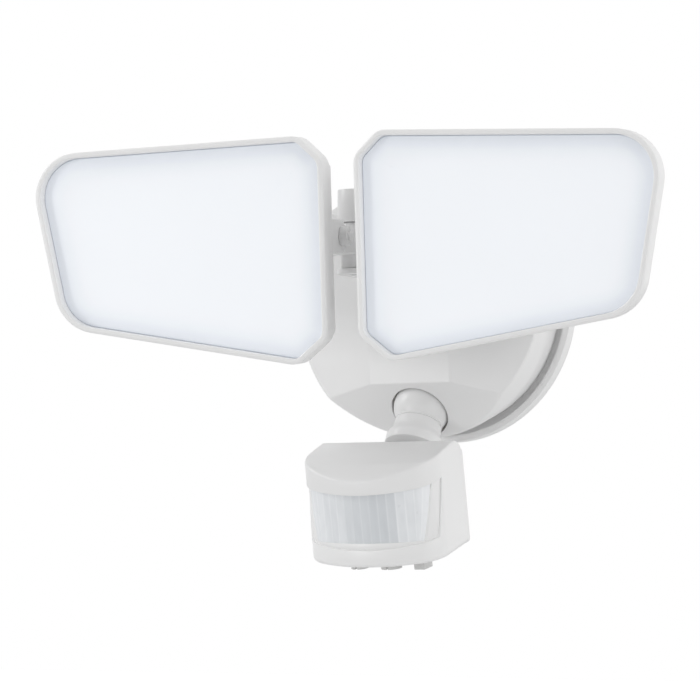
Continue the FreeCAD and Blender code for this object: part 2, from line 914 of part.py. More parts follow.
def make_yoke():
    """The fixed yoke on the canopy's front: a wedge with two pairs of ears."""
    front = -S.cover_depth
    lean = (S.yoke_top - S.facet_half_height) * S.end_slope
    upright = [
        (front, S.yoke_bottom),
        (front, S.facet_half_height),
        (front + lean, S.yoke_top),
        (-S.yoke_face, S.yoke_top),
        (-S.yoke_face, S.yoke_bottom),
    ]
    pieces = [wide_prism(upright, S.yoke_width / 2)]
    tools = []
    ears = (
        (S.yoke_top - S.yoke_upper_ear, S.yoke_upper_ear),
        (S.yoke_bottom, S.yoke_lower_ear),
    )
    reach = S.pan_forward - S.yoke_face + OVERCUT
    radius = S.yoke_ear_radius
    for side in (-1, 1):
        x = side * S.pan_spacing / 2
        for low, tall in ears:
            pieces.append(rod(radius, tall, (x, -S.pan_forward, low)))
            pieces.append(block((x - radius, -S.pan_forward, low), (2 * radius, reach, tall)))
        tools.append(bore(S.bolt_radius, (x, -S.pan_forward, 0), "+z"))
        sink = (x, -S.pan_forward, S.yoke_top - S.pan_head_sink)
        tools.append(rod(S.bolt_head_radius + SLIP, S.pan_head_sink + OVERCUT, sink))
    for x, z in yoke_screw_spots():
        tools.append(rod(tap("yoke"), YOKE_SCREW_HOLD, (x, front, z), "-y"))
    node("head_yoke", cut(fuse(*pieces), *tools))
    behind = S.cover_wall - S.cover_depth
    long = S.cover_wall + YOKE_SCREW_HOLD - OVERCUT
    screws = [screw("yoke", long, (x, behind, z), "-y") for x, z in yoke_screw_spots()]
    node("yoke_screws", group(*screws))


def make_knuckle(side):
    """The pan knuckle of one head: a barrel on the yoke's bolt and an arm to the tilt eye."""
    name = side_name(side)
    low = S.yoke_bottom + S.yoke_lower_ear + S.side_gap
    high = S.yoke_top - S.yoke_upper_ear - S.side_gap
    radius = S.barrel_radius
    middle = side * S.tilt_offset
    half = S.eye_width / 2
    arm_low = S.tilt_height - radius
    start = -radius if side > 0 else middle - half
    wide = S.tilt_offset + half + radius
    forward = S.tilt_reach - 2 * KNUCKLE_BACK
    cross = (start, -KNUCKLE_BACK - KNUCKLE_DEEP, arm_low)
    pieces = [
        rod(radius, high - low, (0, 0, low)),
        block(cross, (wide, KNUCKLE_DEEP, 2 * radius)),
        block((middle - half, -S.tilt_reach, arm_low), (S.eye_width, forward, 2 * radius)),
        rod(radius, S.eye_width, (middle - half, -S.tilt_reach, S.tilt_height), "+x"),
    ]
    shaft = S.bolt_radius + S.running_gap
    bores = [
        bore(shaft, (0, 0, 0), "+z"),
        bore(shaft, (0, -S.tilt_reach, S.tilt_height), "+x"),
    ]
    node(f"{name}_knuckle", cut(fuse(*pieces), *bores), pan_frame(side))
    head_low = S.yoke_top - S.pan_head_sink
    long = head_low - S.yoke_bottom
    spot = (side * S.pan_spacing / 2, -S.pan_forward, head_low)
    bolt = headed(long, S.bolt_radius, S.bolt_head_radius, S.pan_head, spot, "-z")
    node(f"{name}_pan_bolt", bolt)


# ---------------------------------------------------------------- flood heads

def head_place(side, along, upward):
    """A place (X, Z) on a head's face, from its inner edge and its middle height."""
    return side * (along - S.pivot_inboard), upward - S.pivot_above_mid


def edge_slopes():
    """How steeply a head's top edge falls and its bottom edge rises towards the outer end."""
    return S.top_fall / S.head_width, S.outer_rise / (S.head_width - S.outer_lean)


def head_corners(side):
    """The six corners of a head's face (X, Z) in its frame, the inner edge first."""
    top = S.head_height / 2
    fall, rise = edge_slopes()
    corners = (
        (0, S.low_chamfer - top),
        (0, top - S.top_chamfer),
        (S.top_chamfer, top - S.top_chamfer * fall),
        (S.head_width, top - S.top_fall),
        (S.head_width - S.outer_lean, S.outer_rise - top),
        (S.low_chamfer, S.low_chamfer * rise - top),
    )
    return [head_place(side, along, upward) for along, upward in corners]


def head_slab(side, outline, inset, front, depth):
    """A slab of a head's outline moved in by an inset, from a front plane back by a depth."""
    source = outline if inset is None else shrink(outline, inset)
    slab = prism(source, (0, 1, 0), depth, (0, front, 0))
    moved = 0 if inset is None else size(inset).value
    outer = head_place(side, S.head_width * OUTER_END, 0)[0].value

    def radius(edge):
        along = edge.tangentAt(edge.FirstParameter)
        if abs(along.y) < NEARLY_ONE:
            return 0
        if (edge.CenterOfMass.x - outer) * side > 0:
            return S.corner_radius.value - moved
        return S.nose_radius.value

    return round_edges(slab, radius)


def screw_spots(side):
    """Centres (X, Z) of the six screws that close a head, measured from its face's edges."""
    fall, rise = edge_slopes()
    inset = S.tray_inset + S.pillar_inset
    top = S.head_height / 2 - inset
    spots = [(inset, share * S.head_height) for share in INNER_SCREWS]
    spots += [(S.head_width * share, top - S.head_width * share * fall) for share in TOP_SCREWS]
    spots += [(S.head_width * share, S.head_width * share * rise - top) for share in LOW_SCREWS]
    return [head_place(side, along, upward) for along, upward in spots]


def led_spots(side):
    """Centres (X, Z) of the light-emitting diodes on one head's board."""
    for column in range(LED_COLUMNS):
        for line in range(LED_ROWS):
            along = S.head_width * (LED_START + LED_PITCH_ACROSS * column)
            lift = LED_LIFT + (line - (LED_ROWS - 1) / 2) * LED_PITCH_UP
            yield head_place(side, along, S.head_height * lift)


def block_round(spot, width, height, front, depth):
    """A box centred on a place of a head's face, from a front plane back by a depth."""
    x, z = spot
    return block((x - width / 2, front, z - height / 2), (width, depth, height))


def make_head(side):
    """One flood head: bezel, diffuser, seal, tray with fins and lugs, board and diodes."""
    name = side_name(side)
    frame = head_frame(side)
    outline = polygon(head_corners(side), "xz", f"{name}_face")
    front = -S.pivot_behind_rim
    lens_front = front + S.lens_recess
    lens_back = lens_front + S.lens_thick
    frame_back = front + S.frame_depth
    tray_front = frame_back + S.seal_thick
    tray_back = tray_front + S.tray_depth
    spots = screw_spots(side)
    ahead = front - OVERCUT

    solid = head_slab(side, outline, None, front, S.frame_depth)
    opening = head_slab(side, outline, S.rim_width, ahead, lens_back - ahead)
    ledge = S.rim_width + S.ledge_width
    throat = head_slab(side, outline, ledge, ahead, S.frame_depth + 2 * OVERCUT)
    bosses = [rod(S.frame_boss, frame_back - lens_back, (x, lens_back, z), "+y") for x, z in spots]
    grip = frame_back - lens_back - OVERCUT
    taps = [rod(tap("head"), grip + OVERCUT, (x, frame_back - grip, z), "+y") for x, z in spots]
    node(f"{name}_bezel", cut(fuse(cut(solid, opening, throat), *bosses), *taps), frame)
    lens = head_slab(side, outline, S.rim_width + S.lens_gap, lens_front, S.lens_thick)
    node(f"{name}_lens", lens, frame)

    seal_inside = S.tray_inset + S.tray_wall
    seal_through = S.seal_thick + 2 * OVERCUT
    seal = cut(
        head_slab(side, outline, S.tray_inset, frame_back, S.seal_thick),
        head_slab(side, outline, seal_inside, frame_back - OVERCUT, seal_through),
        *[bore(clear("head"), (x, frame_back, z), "+y") for x, z in spots],
    )
    node(f"{name}_lens_seal", seal, frame)
    make_tray(side, outline, tray_front, tray_back, spots)
    make_tilt_bolt(side)
    long = tray_back - frame_back + grip - CLEAR_GAP
    screws = [screw("head", long, (x, tray_back, z), "-y") for x, z in spots]
    node(f"{name}_head_screws", group(*screws), frame)
    make_lamp(side, outline, tray_back - S.tray_back_wall)


def make_lamp(side, outline, floor):
    """The board with its diodes and reflector, on the floor of one head's tray."""
    name = side_name(side)
    frame = head_frame(side)
    face = floor - S.board_thick
    plate = head_slab(side, outline, S.tray_inset + S.board_inset, face, S.board_thick)
    node(f"{name}_led_board", plate, frame)
    chips = [
        block_round(spot, S.led_width, S.led_height, face - S.led_thick, S.led_thick)
        for spot in led_spots(side)
    ]
    node(f"{name}_leds", group(*chips), frame)
    thick = S.reflector_thick
    mirror = head_slab(side, outline, S.tray_inset + S.reflector_inset, face - thick, thick)
    wide = S.led_width + 2 * S.led_margin
    tall = S.led_height + 2 * S.led_margin
    windows = [
        block_round(spot, wide, tall, face - thick - OVERCUT, thick + OVERCUT)
        for spot in led_spots(side)
    ]
    node(f"{name}_reflector", cut(mirror, *windows), frame)


def lug_start():
    """How far from a head's middle its tilt lugs start."""
    return S.eye_width / 2 + S.side_gap


def make_tray(side, outline, front, back, spots):
    """The rear tray of one head, with screw pillars, cooling fins and the tilt lugs."""
    name = side_name(side)
    depth = back - front
    inside = depth - S.tray_back_wall
    hollow = S.tray_inset + S.tray_wall
    shell = cut(
        head_slab(side, outline, S.tray_inset, front, depth),
        head_slab(side, outline, hollow, front - OVERCUT, inside + OVERCUT),
    )
    pieces = [rod(S.pillar_radius, depth, (x, front, z), "+y") for x, z in spots]
    for number in range(FINS):
        along = S.head_width * FIN_START + number * S.fin_pitch
        tall = S.head_height * FIN_SHARE - number * S.fin_shrink
        spot = head_place(side, along, number * FIN_RISE)
        fin_start = back - OVERCUT
        pieces.append(block_round(spot, S.fin_thick, tall, fin_start, S.fin_height + OVERCUT))
    for low in (-lug_start() - S.lug_thick, lug_start()):
        radius = S.lug_radius
        root = back - OVERCUT
        pieces.append(rod(radius, S.lug_thick, (low, 0, 0), "+x"))
        pieces.append(block((low, root, -radius), (S.lug_thick, -root, 2 * radius)))
    holes = [bore(clear("head"), (x, back, z), "-y") for x, z in spots]
    holes.append(bore(S.bolt_radius, (0, 0, 0), "+x"))
    node(f"{name}_rear_tray", cut(fuse(shell, *pieces), *holes), head_frame(side))


def make_tilt_bolt(side):
    """The bolt through a head's lugs and its knuckle's eye, with its nut."""
    name = side_name(side)
    way = "-x" if side > 0 else "+x"
    reach = lug_start() + S.lug_thick
    long = 2 * reach + S.tilt_nut_thick + OVERCUT
    spot = (side * reach, 0, 0)
    bolt = headed(long, S.bolt_radius, S.bolt_head_radius, S.tilt_head, spot, way)
    node(f"{name}_tilt_bolt", bolt, head_frame(side))
    ring = rod(S.tilt_nut_radius, S.tilt_nut_thick, (-side * reach, 0, 0), way)
    nut = cut(ring, bore(S.bolt_radius, (0, 0, 0), "+x"))
    node(f"{name}_tilt_nut", nut, head_frame(side))


# ---------------------------------------------------------------- sensor arm

def make_arm():
    """The ball-ended arm: ball, waist and skirt, hollow for its leads, with a tongue below."""
    long = S.arm_length
    tube_low = S.arm_waist
    flare_low = tube_low + S.arm_flare
    skirt_low = S.arm_skirt_low
    half = S.tongue_half
    tongue = block((-half, -half, -long), (2 * half, 2 * half, long - skirt_low + OVERCUT))
    outer = fuse(
        ball(S.ball_radius, (0, 0, 0)),
        rod(S.arm_tube_radius, tube_low, (0, 0, -tube_low)),
        cone(S.arm_skirt_radius, S.arm_tube_radius, S.arm_flare, (0, 0, -flare_low)),
        rod(S.arm_skirt_radius, skirt_low - flare_low, (0, 0, -skirt_low)),
        tongue,
        rod(half, 2 * half, (-half, 0, -long), "+x"),
    )
    hollow = rod(S.arm_bore, THROUGH, (0, 0, S.arm_floor - skirt_low))
    pin_bore = bore(S.pin_radius + S.running_gap, (0, 0, -long), "+x")
    notch_start = -S.arm_skirt_radius - OVERCUT
    notch = block(
        (notch_start, -NOTCH_WIDE / 2, -skirt_low - OVERCUT),
        (NOTCH_DEEP + OVERCUT, NOTCH_WIDE, NOTCH_TALL + OVERCUT),
    )
    node("sensor_arm", cut(outer, hollow, pin_bore, notch), arm_frame())


# ---------------------------------------------------------------- sensor head

def fall_to(drop, slope, forward):
    """Height of a sloping plane of the sensor head, a distance forward of its tilt pin."""
    return (S.sensor_front - forward) * slope - drop


def floor_height(forward):
    """Height of the sensor head's underside, a distance forward of its tilt pin."""
    return fall_to(S.floor_drop, S.floor_slope, forward)


def brow_height(forward):
    """Height of the window's upper edge, a distance forward of the tilt pin."""
    return fall_to(S.brow_drop, S.brow_slope, forward)


def chin_height(forward):
    """Height of the window's lower edge, a distance forward of the tilt pin."""
    return fall_to(S.floor_drop - S.chin_tall, S.chin_slope, forward)


def film_low():
    """Height of the film's lower edge, which is level all the way round."""
    return S.film_lip + S.chin_tall - S.floor_drop


def post_across():
    """How far the posts that close the sensor head stand from its middle."""
    return S.sensor_half_width - S.post_inset


def sensor_plan(inset, name):
    """An upright column of the sensor head's plan: one front arc between rounded corners."""
    inset = size(inset)
    centre = S.sensor_arc - S.sensor_front
    half = S.sensor_half_width - inset
    low = -S.floor_drop - S.sensor_corner
    tall = S.crest_rise - low + S.sensor_corner
    drum = rod(S.sensor_arc - inset, tall, (0, centre, low))
    reach = S.sensor_front + OVERCUT
    slab = block((-half, -reach, low), (2 * half, reach, tall))
    middle = -S.sensor_front.value / 2

    def radius(edge):
        along = edge.tangentAt(edge.FirstParameter)
        if abs(along.z) > NEARLY_ONE and edge.CenterOfMass.y < middle:
            return S.sensor_corner.value - inset.value
        return 0

    return round_edges(common(drum, slab), radius, name)


def sensor_side(inset, name):
    """The sensor head's side view swept across it: sloping hood, crest, back and underside."""
    reach = S.sensor_front + OVERCUT
    nose = S.hood_kink_rise - (reach - S.hood_kink) * S.hood_front_slope
    view = [
        (-reach, floor_height(reach)),
        (-S.sensor_back, floor_height(S.sensor_back)),
        (-S.sensor_back, S.crest_rise),
        (-S.crest_forward, S.crest_rise),
        (-S.hood_mid, S.hood_mid_rise),
        (-S.hood_kink, S.hood_kink_rise),
        (-reach, nose),
    ]
    outline = polygon(view, "yz")
    moved = 0.0
    if inset is not None:
        outline = shrink(outline, inset)
        moved = inset.value
    half = S.sensor_half_width + OVERCUT
    sweep = prism(outline, (1, 0, 0), 2 * half, (-half, 0, 0))
    top = S.crest_rise.value - moved
    back = -S.sensor_back.value - moved

    def radius(edge):
        middle = edge.CenterOfMass
        near = abs(middle.y - back) < NEARLY_ZERO and abs(middle.z - top) < NEARLY_ZERO
        return S.crest_round.value - moved if near else 0

    return round_edges(sweep, radius, name)


def sensor_form(inset, name):
    """The sensor head's outer form, or its cavity when an inset is given."""
    plan = sensor_plan(0 if inset is None else inset, f"{name}_plan")
    return common(plan, sensor_side(inset, f"{name}_side"), name=name)


def before_seam():
    """A block that holds all of the sensor head in front of the seam with its rear cover."""
    half = S.sensor_half_width + OVERCUT
    low = -S.floor_drop - OVERCUT
    deep = S.sensor_front + OVERCUT
    seam = S.sensor_back + S.rear_thick
    return block((-half, -deep, low), (2 * half, deep - seam, S.crest_rise - low + OVERCUT))


def window_way():
    """Cutter for the window, which runs right across the front and round both corners."""
    reach = S.sensor_front + OVERCUT
    view = [
        (-S.cheek_top, brow_height(S.cheek_top)),
        (-reach, brow_height(reach)),
        (-reach, chin_height(reach)),
        (-S.cheek_low, chin_height(S.cheek_low)),
    ]
    return wide_prism(view, S.sensor_half_width + OVERCUT, "window_way")


def film_way():
    """Cutter for the part of the window that the film fills, inside its frame."""
    reach = S.sensor_front + 2 * OVERCUT
    view = [
        (-S.cheek_top - S.frame_side, OVERCUT),
        (-reach, OVERCUT),
        (-reach, film_low()),
        (-S.cheek_low - S.frame_side, film_low()),
    ]
    return wide_prism(view, S.sensor_half_width + 2 * OVERCUT, "film_way")


def curved_sheet(inset, thick, name):
    """An upright curved sheet a wall's thickness deep, set in from the head's plan."""
    inside = sensor_plan(inset + thick, f"{name}_inside")
    return cut(sensor_plan(inset, f"{name}_outside"), inside, name=name)


def make_sensor():
    """The sensor head: front shell, rear cover, film and frame, board and controls."""
    frame = sensor_frame()
    outer = sensor_form(None, "sensor_outer")
    inner = sensor_form(S.sensor_wall, "sensor_inner")
    seam = -S.sensor_back - S.rear_thick
    front = before_seam()
    window = window_way()
    posts = [rod(S.sensor_post_radius, S.sensor_post, (x, seam, z), "-y") for x, z in post_pair()]
    taps = [rod(tap("sensor"), S.sensor_post - OVERCUT, (x, seam, z), "-y") for x, z in post_pair()]
    shell = fuse(common(cut(outer, inner, window), front), *posts)
    shaft = S.knob_shaft + S.running_gap
    ways = [bore(shaft, knob_spot(column, 0), "+z") for column in (-1, 0)]
    slot = (S.stem_width + 2 * (S.switch_travel + S.side_gap), S.stem_depth + 2 * S.side_gap)
    way_tall = S.knob_shaft_top + S.sensor_wall
    ways.append(block_about(knob_spot(1, way_tall), (*slot, 2 * way_tall)))
    floor_only = common(group(*ways), inner_floor())
    node("sensor_shell", cut(shell, *taps, floor_only), frame)
    node_rear_cover(cut(outer, front))
    film = film_way()
    sheet_form = curved_sheet(S.frame_inset, S.frame_thick, "frame_sheet")
    node("lens_frame", common(cut(sheet_form, film), window), frame)
    film_sheet = curved_sheet(S.film_inset, S.film_thick, "film_sheet")
    node("pir_lens", common(film_sheet, film, window), frame)
    make_sensor_inside()
    make_knobs()


def inner_floor():
    """A block round the sensor head's underside that keeps the controls' holes off its top."""
    half = S.sensor_half_width
    low = -S.floor_drop - S.sensor_corner
    tall = S.sensor_corner + S.floor_drop / 2
    return block((-half, -S.sensor_front, low), (2 * half, S.sensor_front, tall))


def post_pair():
    """Centres (X, Z) of the four screws that close the sensor head."""
    heights = (S.crest_rise - S.post_fall, floor_height(S.sensor_back) + S.post_lift)
    return [(side * post_across(), height) for side in (-1, 1) for height in heights]


def block_about(spot, span):
    """A box centred on a spot in X and Y that hangs down from it."""
    x, y, z = spot
    return block((x - span[0] / 2, y - span[1] / 2, z - span[2]), span)


def knob_spot(column, above):
    """A place on the axis of one knob, a height above the knobs' tops."""
    top = floor_height(S.knob_forward + S.range_knob_radius) - S.side_gap
    return column * S.knob_pitch, -S.knob_forward, top + above


def node_rear_cover(plate):
    """The sensor's rear cover with two lugs on the arm's tongue, its pin and its screws."""
    frame = sensor_frame()
    back = -S.sensor_back
    start = S.tongue_half + S.side_gap
    radius = S.pin_lug_radius
    pieces = []
    for low in (-start - S.lug_thick, start):
        root = back - OVERCUT
        pieces.append(rod(radius, S.lug_thick, (low, 0, 0), "+x"))
        pieces.append(block((low, root, -radius), (S.lug_thick, -root, 2 * radius)))
    holes = [bore(clear("sensor"), (x, back, z), "-y") for x, z in post_pair()]
    holes.append(bore(S.pin_radius, (0, 0, 0), "+x"))
    node("sensor_rear_cover", cut(fuse(plate, *pieces), *holes), frame)
    reach = start + S.lug_thick
    long = 2 * reach + S.pin_nut_thick - OVERCUT / 2
    pin = headed(long, S.pin_radius, S.pin_head_radius, S.pin_head, (reach, 0, 0), "-x")
    node("sensor_tilt_bolt", pin, frame)
    ring = rod(S.pin_nut_radius, S.pin_nut_thick, (-reach, 0, 0), "-x")
    node("sensor_tilt_nut", cut(ring, bore(S.pin_radius, (0, 0, 0), "+x")), frame)
    grip = S.rear_thick + S.sensor_post - 2 * OVERCUT
    screws = [screw("sensor", grip, (x, back, z), "-y") for x, z in post_pair()]
    node("sensor_screws", group(*screws), frame)


def make_sensor_inside():
    """The sensor's board, the infrared detector, the light cell and the controls' seats."""
    frame = sensor_frame()
    y = -S.sensor_board_forward
    half = post_across() - S.sensor_post_radius - S.side_gap - SLIP
    low = floor_height(S.sensor_board_forward) + S.sensor_wall + S.sensor_board_lift
    board = block((-half, y, low), (2 * half, S.board_thick, S.sensor_board_tall))
    node("sensor_board", board, frame)
    middle = (film_low() - S.brow_drop) / 2
    eye = (0, y, middle)
    can = fuse(rod(EYE_RADIUS, EYE_TALL, eye, "-y"), rod(EYE_FLANGE, EYE_FLANGE_TALL, eye, "-y"))
    node("pir_detector", can, frame)
    cell = rod(CELL_RADIUS, CELL_TALL, (CELL_ACROSS, y, middle + CELL_RISE), "-y")
    node("light_cell", cell, frame)
    seats = []
    for column in (-1, 0, 1):
        x, centre, z = knob_spot(column, shaft_top() + S.side_gap)
        ahead = centre - SEAT_WIDE / 2
        seats.append(block((x - SEAT_WIDE / 2, ahead, z), (SEAT_WIDE, y - ahead, SEAT_TALL)))
    node("dial_potentiometers", group(*seats), frame)


def shaft_top():
    """How far above the knobs' tops their shafts end."""
    rise = (S.range_knob_radius - S.knob_shaft) * S.floor_slope
    return S.side_gap + rise + S.sensor_wall + S.knob_shaft_top


def make_knobs():
    """Two turning knobs and one sliding switch under the sensor head."""
    frame = sensor_frame()
    tall = S.knob_height
    top = shaft_top()
    for label, column in (("time", -1), ("range", 0)):
        radius = S.time_knob_radius if label == "time" else S.range_knob_radius
        knob = rod(radius, tall, knob_spot(column, 0), "-z")
        shaft = rod(S.knob_shaft, top + OVERCUT, knob_spot(column, top), "-z")
        x, y, z = knob_spot(column, -tall)
        width = S.knob_slot_width
        low = (x - width / 2, y - radius, z - OVERCUT)
        slot = block(low, (width, 2 * radius, S.knob_slot_depth + OVERCUT))
        node(f"{label}_dial", cut(fuse(knob, shaft), slot), frame)
    button = block_about(knob_spot(1, 0), (S.switch_width, S.switch_depth, tall))
    stem = block_about(knob_spot(1, top), (S.stem_width, S.stem_depth, top + OVERCUT))
    node("mode_switch", fuse(button, stem), frame)


# ---------------------------------------------------------------- the whole light

def main():
    """Build every node, stop on any fault, and write one STEP file per node."""
    make_cover()
    make_wall_plate()
    make_fixings()
    make_socket()
    make_driver()
    make_yoke()
    for side in (-1, 1):
        make_knuckle(side)
        make_head(side)
    make_arm()
    make_sensor()
    doc.recompute()
    faults = []
    for item in doc.Objects:
        if "Invalid" in item.State or "Error" in item.State:
            faults.append(f"{item.Name}: {item.State}")
    for item in NODES:
        if item.Shape.isNull() or not item.Shape.isValid():
            faults.append(f"{item.Label}: bad shape")
    if faults:
        raise SystemExit("\n".join(faults))
    os.makedirs("parts", exist_ok=True)
    for item in NODES:
        item.Shape.exportStep(f"parts/{item.Label}.step")
    print(len(NODES), "nodes written")


main()
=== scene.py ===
import json
import math

import bmesh
import bpy
import numpy as np
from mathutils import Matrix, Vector


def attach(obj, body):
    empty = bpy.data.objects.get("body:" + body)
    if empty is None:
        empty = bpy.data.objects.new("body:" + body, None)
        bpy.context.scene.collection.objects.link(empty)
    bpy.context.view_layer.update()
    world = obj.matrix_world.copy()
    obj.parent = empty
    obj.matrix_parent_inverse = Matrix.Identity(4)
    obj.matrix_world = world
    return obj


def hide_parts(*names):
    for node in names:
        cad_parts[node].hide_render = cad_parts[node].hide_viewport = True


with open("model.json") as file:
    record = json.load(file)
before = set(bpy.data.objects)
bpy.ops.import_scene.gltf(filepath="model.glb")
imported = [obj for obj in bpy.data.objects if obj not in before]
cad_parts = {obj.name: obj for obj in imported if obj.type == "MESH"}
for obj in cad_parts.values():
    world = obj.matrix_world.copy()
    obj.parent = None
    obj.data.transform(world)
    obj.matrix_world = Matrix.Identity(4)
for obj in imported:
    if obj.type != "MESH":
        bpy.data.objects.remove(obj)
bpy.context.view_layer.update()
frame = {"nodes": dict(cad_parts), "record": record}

MM = 0.001
RECORD = frame["record"]
JOINTS = {joint["name"]: joint for joint in RECORD["behaviour"]["joints"]}
BODY_OF = {node: body for body, nodes in RECORD["behaviour"]["bodies"].items() for node in nodes}
SLOT_OF = {part["node"]: part["material_slot"] for part in RECORD["subparts"]}

# ---------------------------------------------------------------- sizes, in mm and degrees
# Flood heads: how far each is panned to the viewer's right and tilted down.
PAN = {"left": 11.6, "right": 10.5}
TILT = {"left": 6.0, "right": 5.4}
# A head's face: its size, its place by the tilt bolt, how far its top falls and its outer end
# leans and rises, its chamfers, and the rounding of its corners.
HEAD_W, HEAD_H = 143.7, 106.8
HEAD_INNER, HEAD_DROP = 15.7, 7.0
TOP_FALL, OUTER_LEAN, OUTER_RISE = 4.95, 14.85, 21.8
TOP_CHAMFER, LOW_CHAMFER = 11.6, 14.5
CORNER_R, NOSE_R, NOSE_LEAST = 21.0, 8.5, 3.5
CORNER_POINTS = 14
# Depths of the frame and the diffuser by the tilt bolt (forward is negative), and widths
# measured inwards from the outline.
RIM_FRONT, FRAME_BACK = -46.0, -34.3
LENS_FRONT, LENS_BACK = -40.7, -38.7
RIM_WIDTH, LIP_STEP, LEDGE_WIDTH, LENS_GAP = 2.5, 0.08, 6.0, 0.22
TRAY_INSET, TRAY_ROUND, TRAY_EASE = 5.0, 3.2, 0.9
# Rings of the diffuser's face, as inset from its rim and distance behind its front; further
# rings are drawn towards the middle by the shares.
LENS_RINGS = [
    (0.0, 1.6), (0.0, 0.45), (0.05, 0.2), (0.2, 0.05), (0.45, 0.0), (1.0, 0.0), (2.0, 0.0),
    (3.0, 0.0), (4.0, 0.0), (5.5, 0.0), (7.0, 0.0), (9.0, 0.0), (11.0, 0.0), (13.0, 0.0),
]
MIDDLE_SHARES = [0.8, 0.6, 0.4, 0.2]

# Canopy cover: radii, depths from the wall, where the front's slopes start and how they fall.
COVER_R, FOOT_R, COVER_DEPTH, SHOULDER = 64.8, 58.6, 47.0, 27.0
FACET_X, FACET_Z, SIDE_SLOPE, END_SLOPE = 21.25, 39.3, 0.19, 0.812
FOOT_DEPTH, COVER_WALL = 3.0, 2.5
SIDE_EASE, END_EASE, RIM_EASE, CREASE_HALF = 0.1, 0.45, 1.1, 1.1
COVER_COLUMNS = 480
SOCKET_DROP, SOCKET_R, SOCKET_REACH = 17.2, 14.4, 9.0
PLUG_R, PLUG_FROM, PLUG_TO = 5.2, 39.0, 50.0

# Sensor arm by the centre of its ball: how it leans, the ball and the angles at which its
# surface starts and stops, then the (radius, height) corners of collar, flare and skirt.
ARM_LEAN = 27.4
BALL_R, BALL_START, BALL_STOP = 13.8, 90, -36
ARM_PROFILE = [
    (11.3, -8.4), (11.3, -9.0), (10.9, -9.15), (10.9, -9.55), (11.3, -9.7), (11.3, -12.6),
    (11.35, -13.6), (11.6, -14.4), (12.4, -15.8), (13.2, -17.0), (13.65, -17.8), (13.8, -18.8),
    (13.8, -21.9), (13.55, -22.35), (13.0, -22.5), (5.0, -22.5),
]
ARM_SLOT = (-17, -4, -23.5), (-8.5, 5, -14.5)
TONGUE_HALF, TONGUE_TOP, TONGUE_END, TONGUE_PIN = 5.0, -21.5, -36.3, -31.3
TONGUE_R, TONGUE_EASE, TONGUE_SHRINK = 4.9, 0.5, 0.0625

# Sensor head by its tilt bolt: its pitch, depths, and its plan of a front arc and two corners.
SENSOR_PITCH = 11.3
HEAD_FRONT, HEAD_BACK, SEAM = 53.7, -12.0, -14.2
PLAN_HALF, PLAN_FRONT_R, PLAN_CENTRE = 35.0, 59.3, 5.6
PLAN_CORNER_R, PLAN_CORNER = 15.0, (20.0, -33.93)
PLAN_SWING = math.atan2(PLAN_CORNER[0], PLAN_CENTRE - PLAN_CORNER[1])
# Its hood lies above the first height and its underside below the second. How near the
# outline or the seam an edge lies to count as on it.
HOOD_LEAST, CHIN_MOST = 0.0, -34.5
ON_OUTLINE, ON_SEAM = 0.12, 0.1
# Rounding of its two shells: at every edge, along the hood's rim and round the underside.
SHELL_EASES = {"sensor_shell": (0.3, 1.0, 2.4), "sensor_rear_cover": (0.4, 1.2, 2.0)}
SHELL_SHARP = 34.0
LENS_FRAME_EASE = 0.25

# Film: the brow above it, its faces' insets from the plan, its lower edge, where its ends
# lie at the bottom and the top, how far before the corner its columns start to be drawn to
# them, its strips and its rows.
BROW_DROP, BROW_SLOPE, BROW_GAP = 5.4, 0.28, 0.05
FILM_FRONT, FILM_BACK, FILM_LOW = 1.5, 2.3, -28.1
FILM_END_LOW, FILM_END_TOP, FILM_DRAWN = -44.8, -40.4, 1.5
STRIPS, STRIP_COLUMNS, GROOVE_DEPTH = 16, 8, 0.16
FILM_ROWS, FILM_BACK_ROWS = 16, 6
# Tones of the strips, from 0 to 1: a level, a dip of painted shade at a place across the film, a
# step up of painted reflection beyond another, how much a strip differs at random, and how much
# lighter a groove is with a painted highlight.
FILM_TONE = 0.72
SHADE_DIP_DEPTH, SHADE_DIP_PLACE, SHADE_DIP_WIDTH = 0.55, 0.6, 0.22
REFLECTION_STEP_UP, REFLECTION_STEP_PLACE = 0.2, 0.78
STRIP_VARIES, GROOVE_HIGHLIGHT = 0.05, 0.2

# Edge rounding of the pieces that keep the frame's shape.
KNUCKLE_EASE, YOKE_EASE, PLATE_EASE = 0.7, 0.7, 0.5
EASED = {
    "time_dial": 0.7, "range_dial": 0.8, "mode_switch": 0.7,
    "left_tilt_bolt": 0.5, "right_tilt_bolt": 0.5, "left_tilt_nut": 0.4, "right_tilt_nut": 0.4,
    "left_pan_bolt": 0.4, "right_pan_bolt": 0.4, "sensor_tilt_bolt": 0.35, "sensor_tilt_nut": 0.3,
    "centre_bolt": 0.4, "bolt_plug": 0.4, "mounting_bar": 0.4, "lead_grommet": 0.4,
    "left_head_screws": 0.3, "right_head_screws": 0.3, "sensor_screws": 0.25,
    "socket_seat": 0.3, "socket_cup": 0.4,
}
# Vertices of a node nearer than this in mm are merged, and so are faces that turn by less
# than this in degrees.
SAME_POINT, SAME_FACE = 0.002, 0.5


# ---------------------------------------------------------------- places
def turn(axis, degrees):
    """3 x 3 rotation by an angle about the X, Y or Z axis."""
    a = math.radians(degrees)
    c, s = math.cos(a), math.sin(a)
    if axis == "x":
        return np.array([[1, 0, 0], [0, c, -s], [0, s, c]])
    if axis == "y":
        return np.array([[c, 0, s], [0, 1, 0], [-s, 0, c]])
    return np.array([[c, -s, 0], [s, c, 0], [0, 0, 1]])


def joint_place(name):
    """A joint's point in millimetres."""
    return np.array(JOINTS[name]["pos_m"]) / MM


# Each place is a rotation and an origin in millimetres.
HEAD_PLACE = {
    side: (turn("z", PAN[side]) @ turn("x", TILT[side]), joint_place(f"{side}_tilt"))
    for side in ("left", "right")
}
SENSOR_PLACE = (turn("x", SENSOR_PITCH), joint_place("sensor_tilt"))
ARM_PLACE = (turn("x", -ARM_LEAN), joint_place("sensor_swivel"))
HOME = (np.eye(3), np.zeros(3))


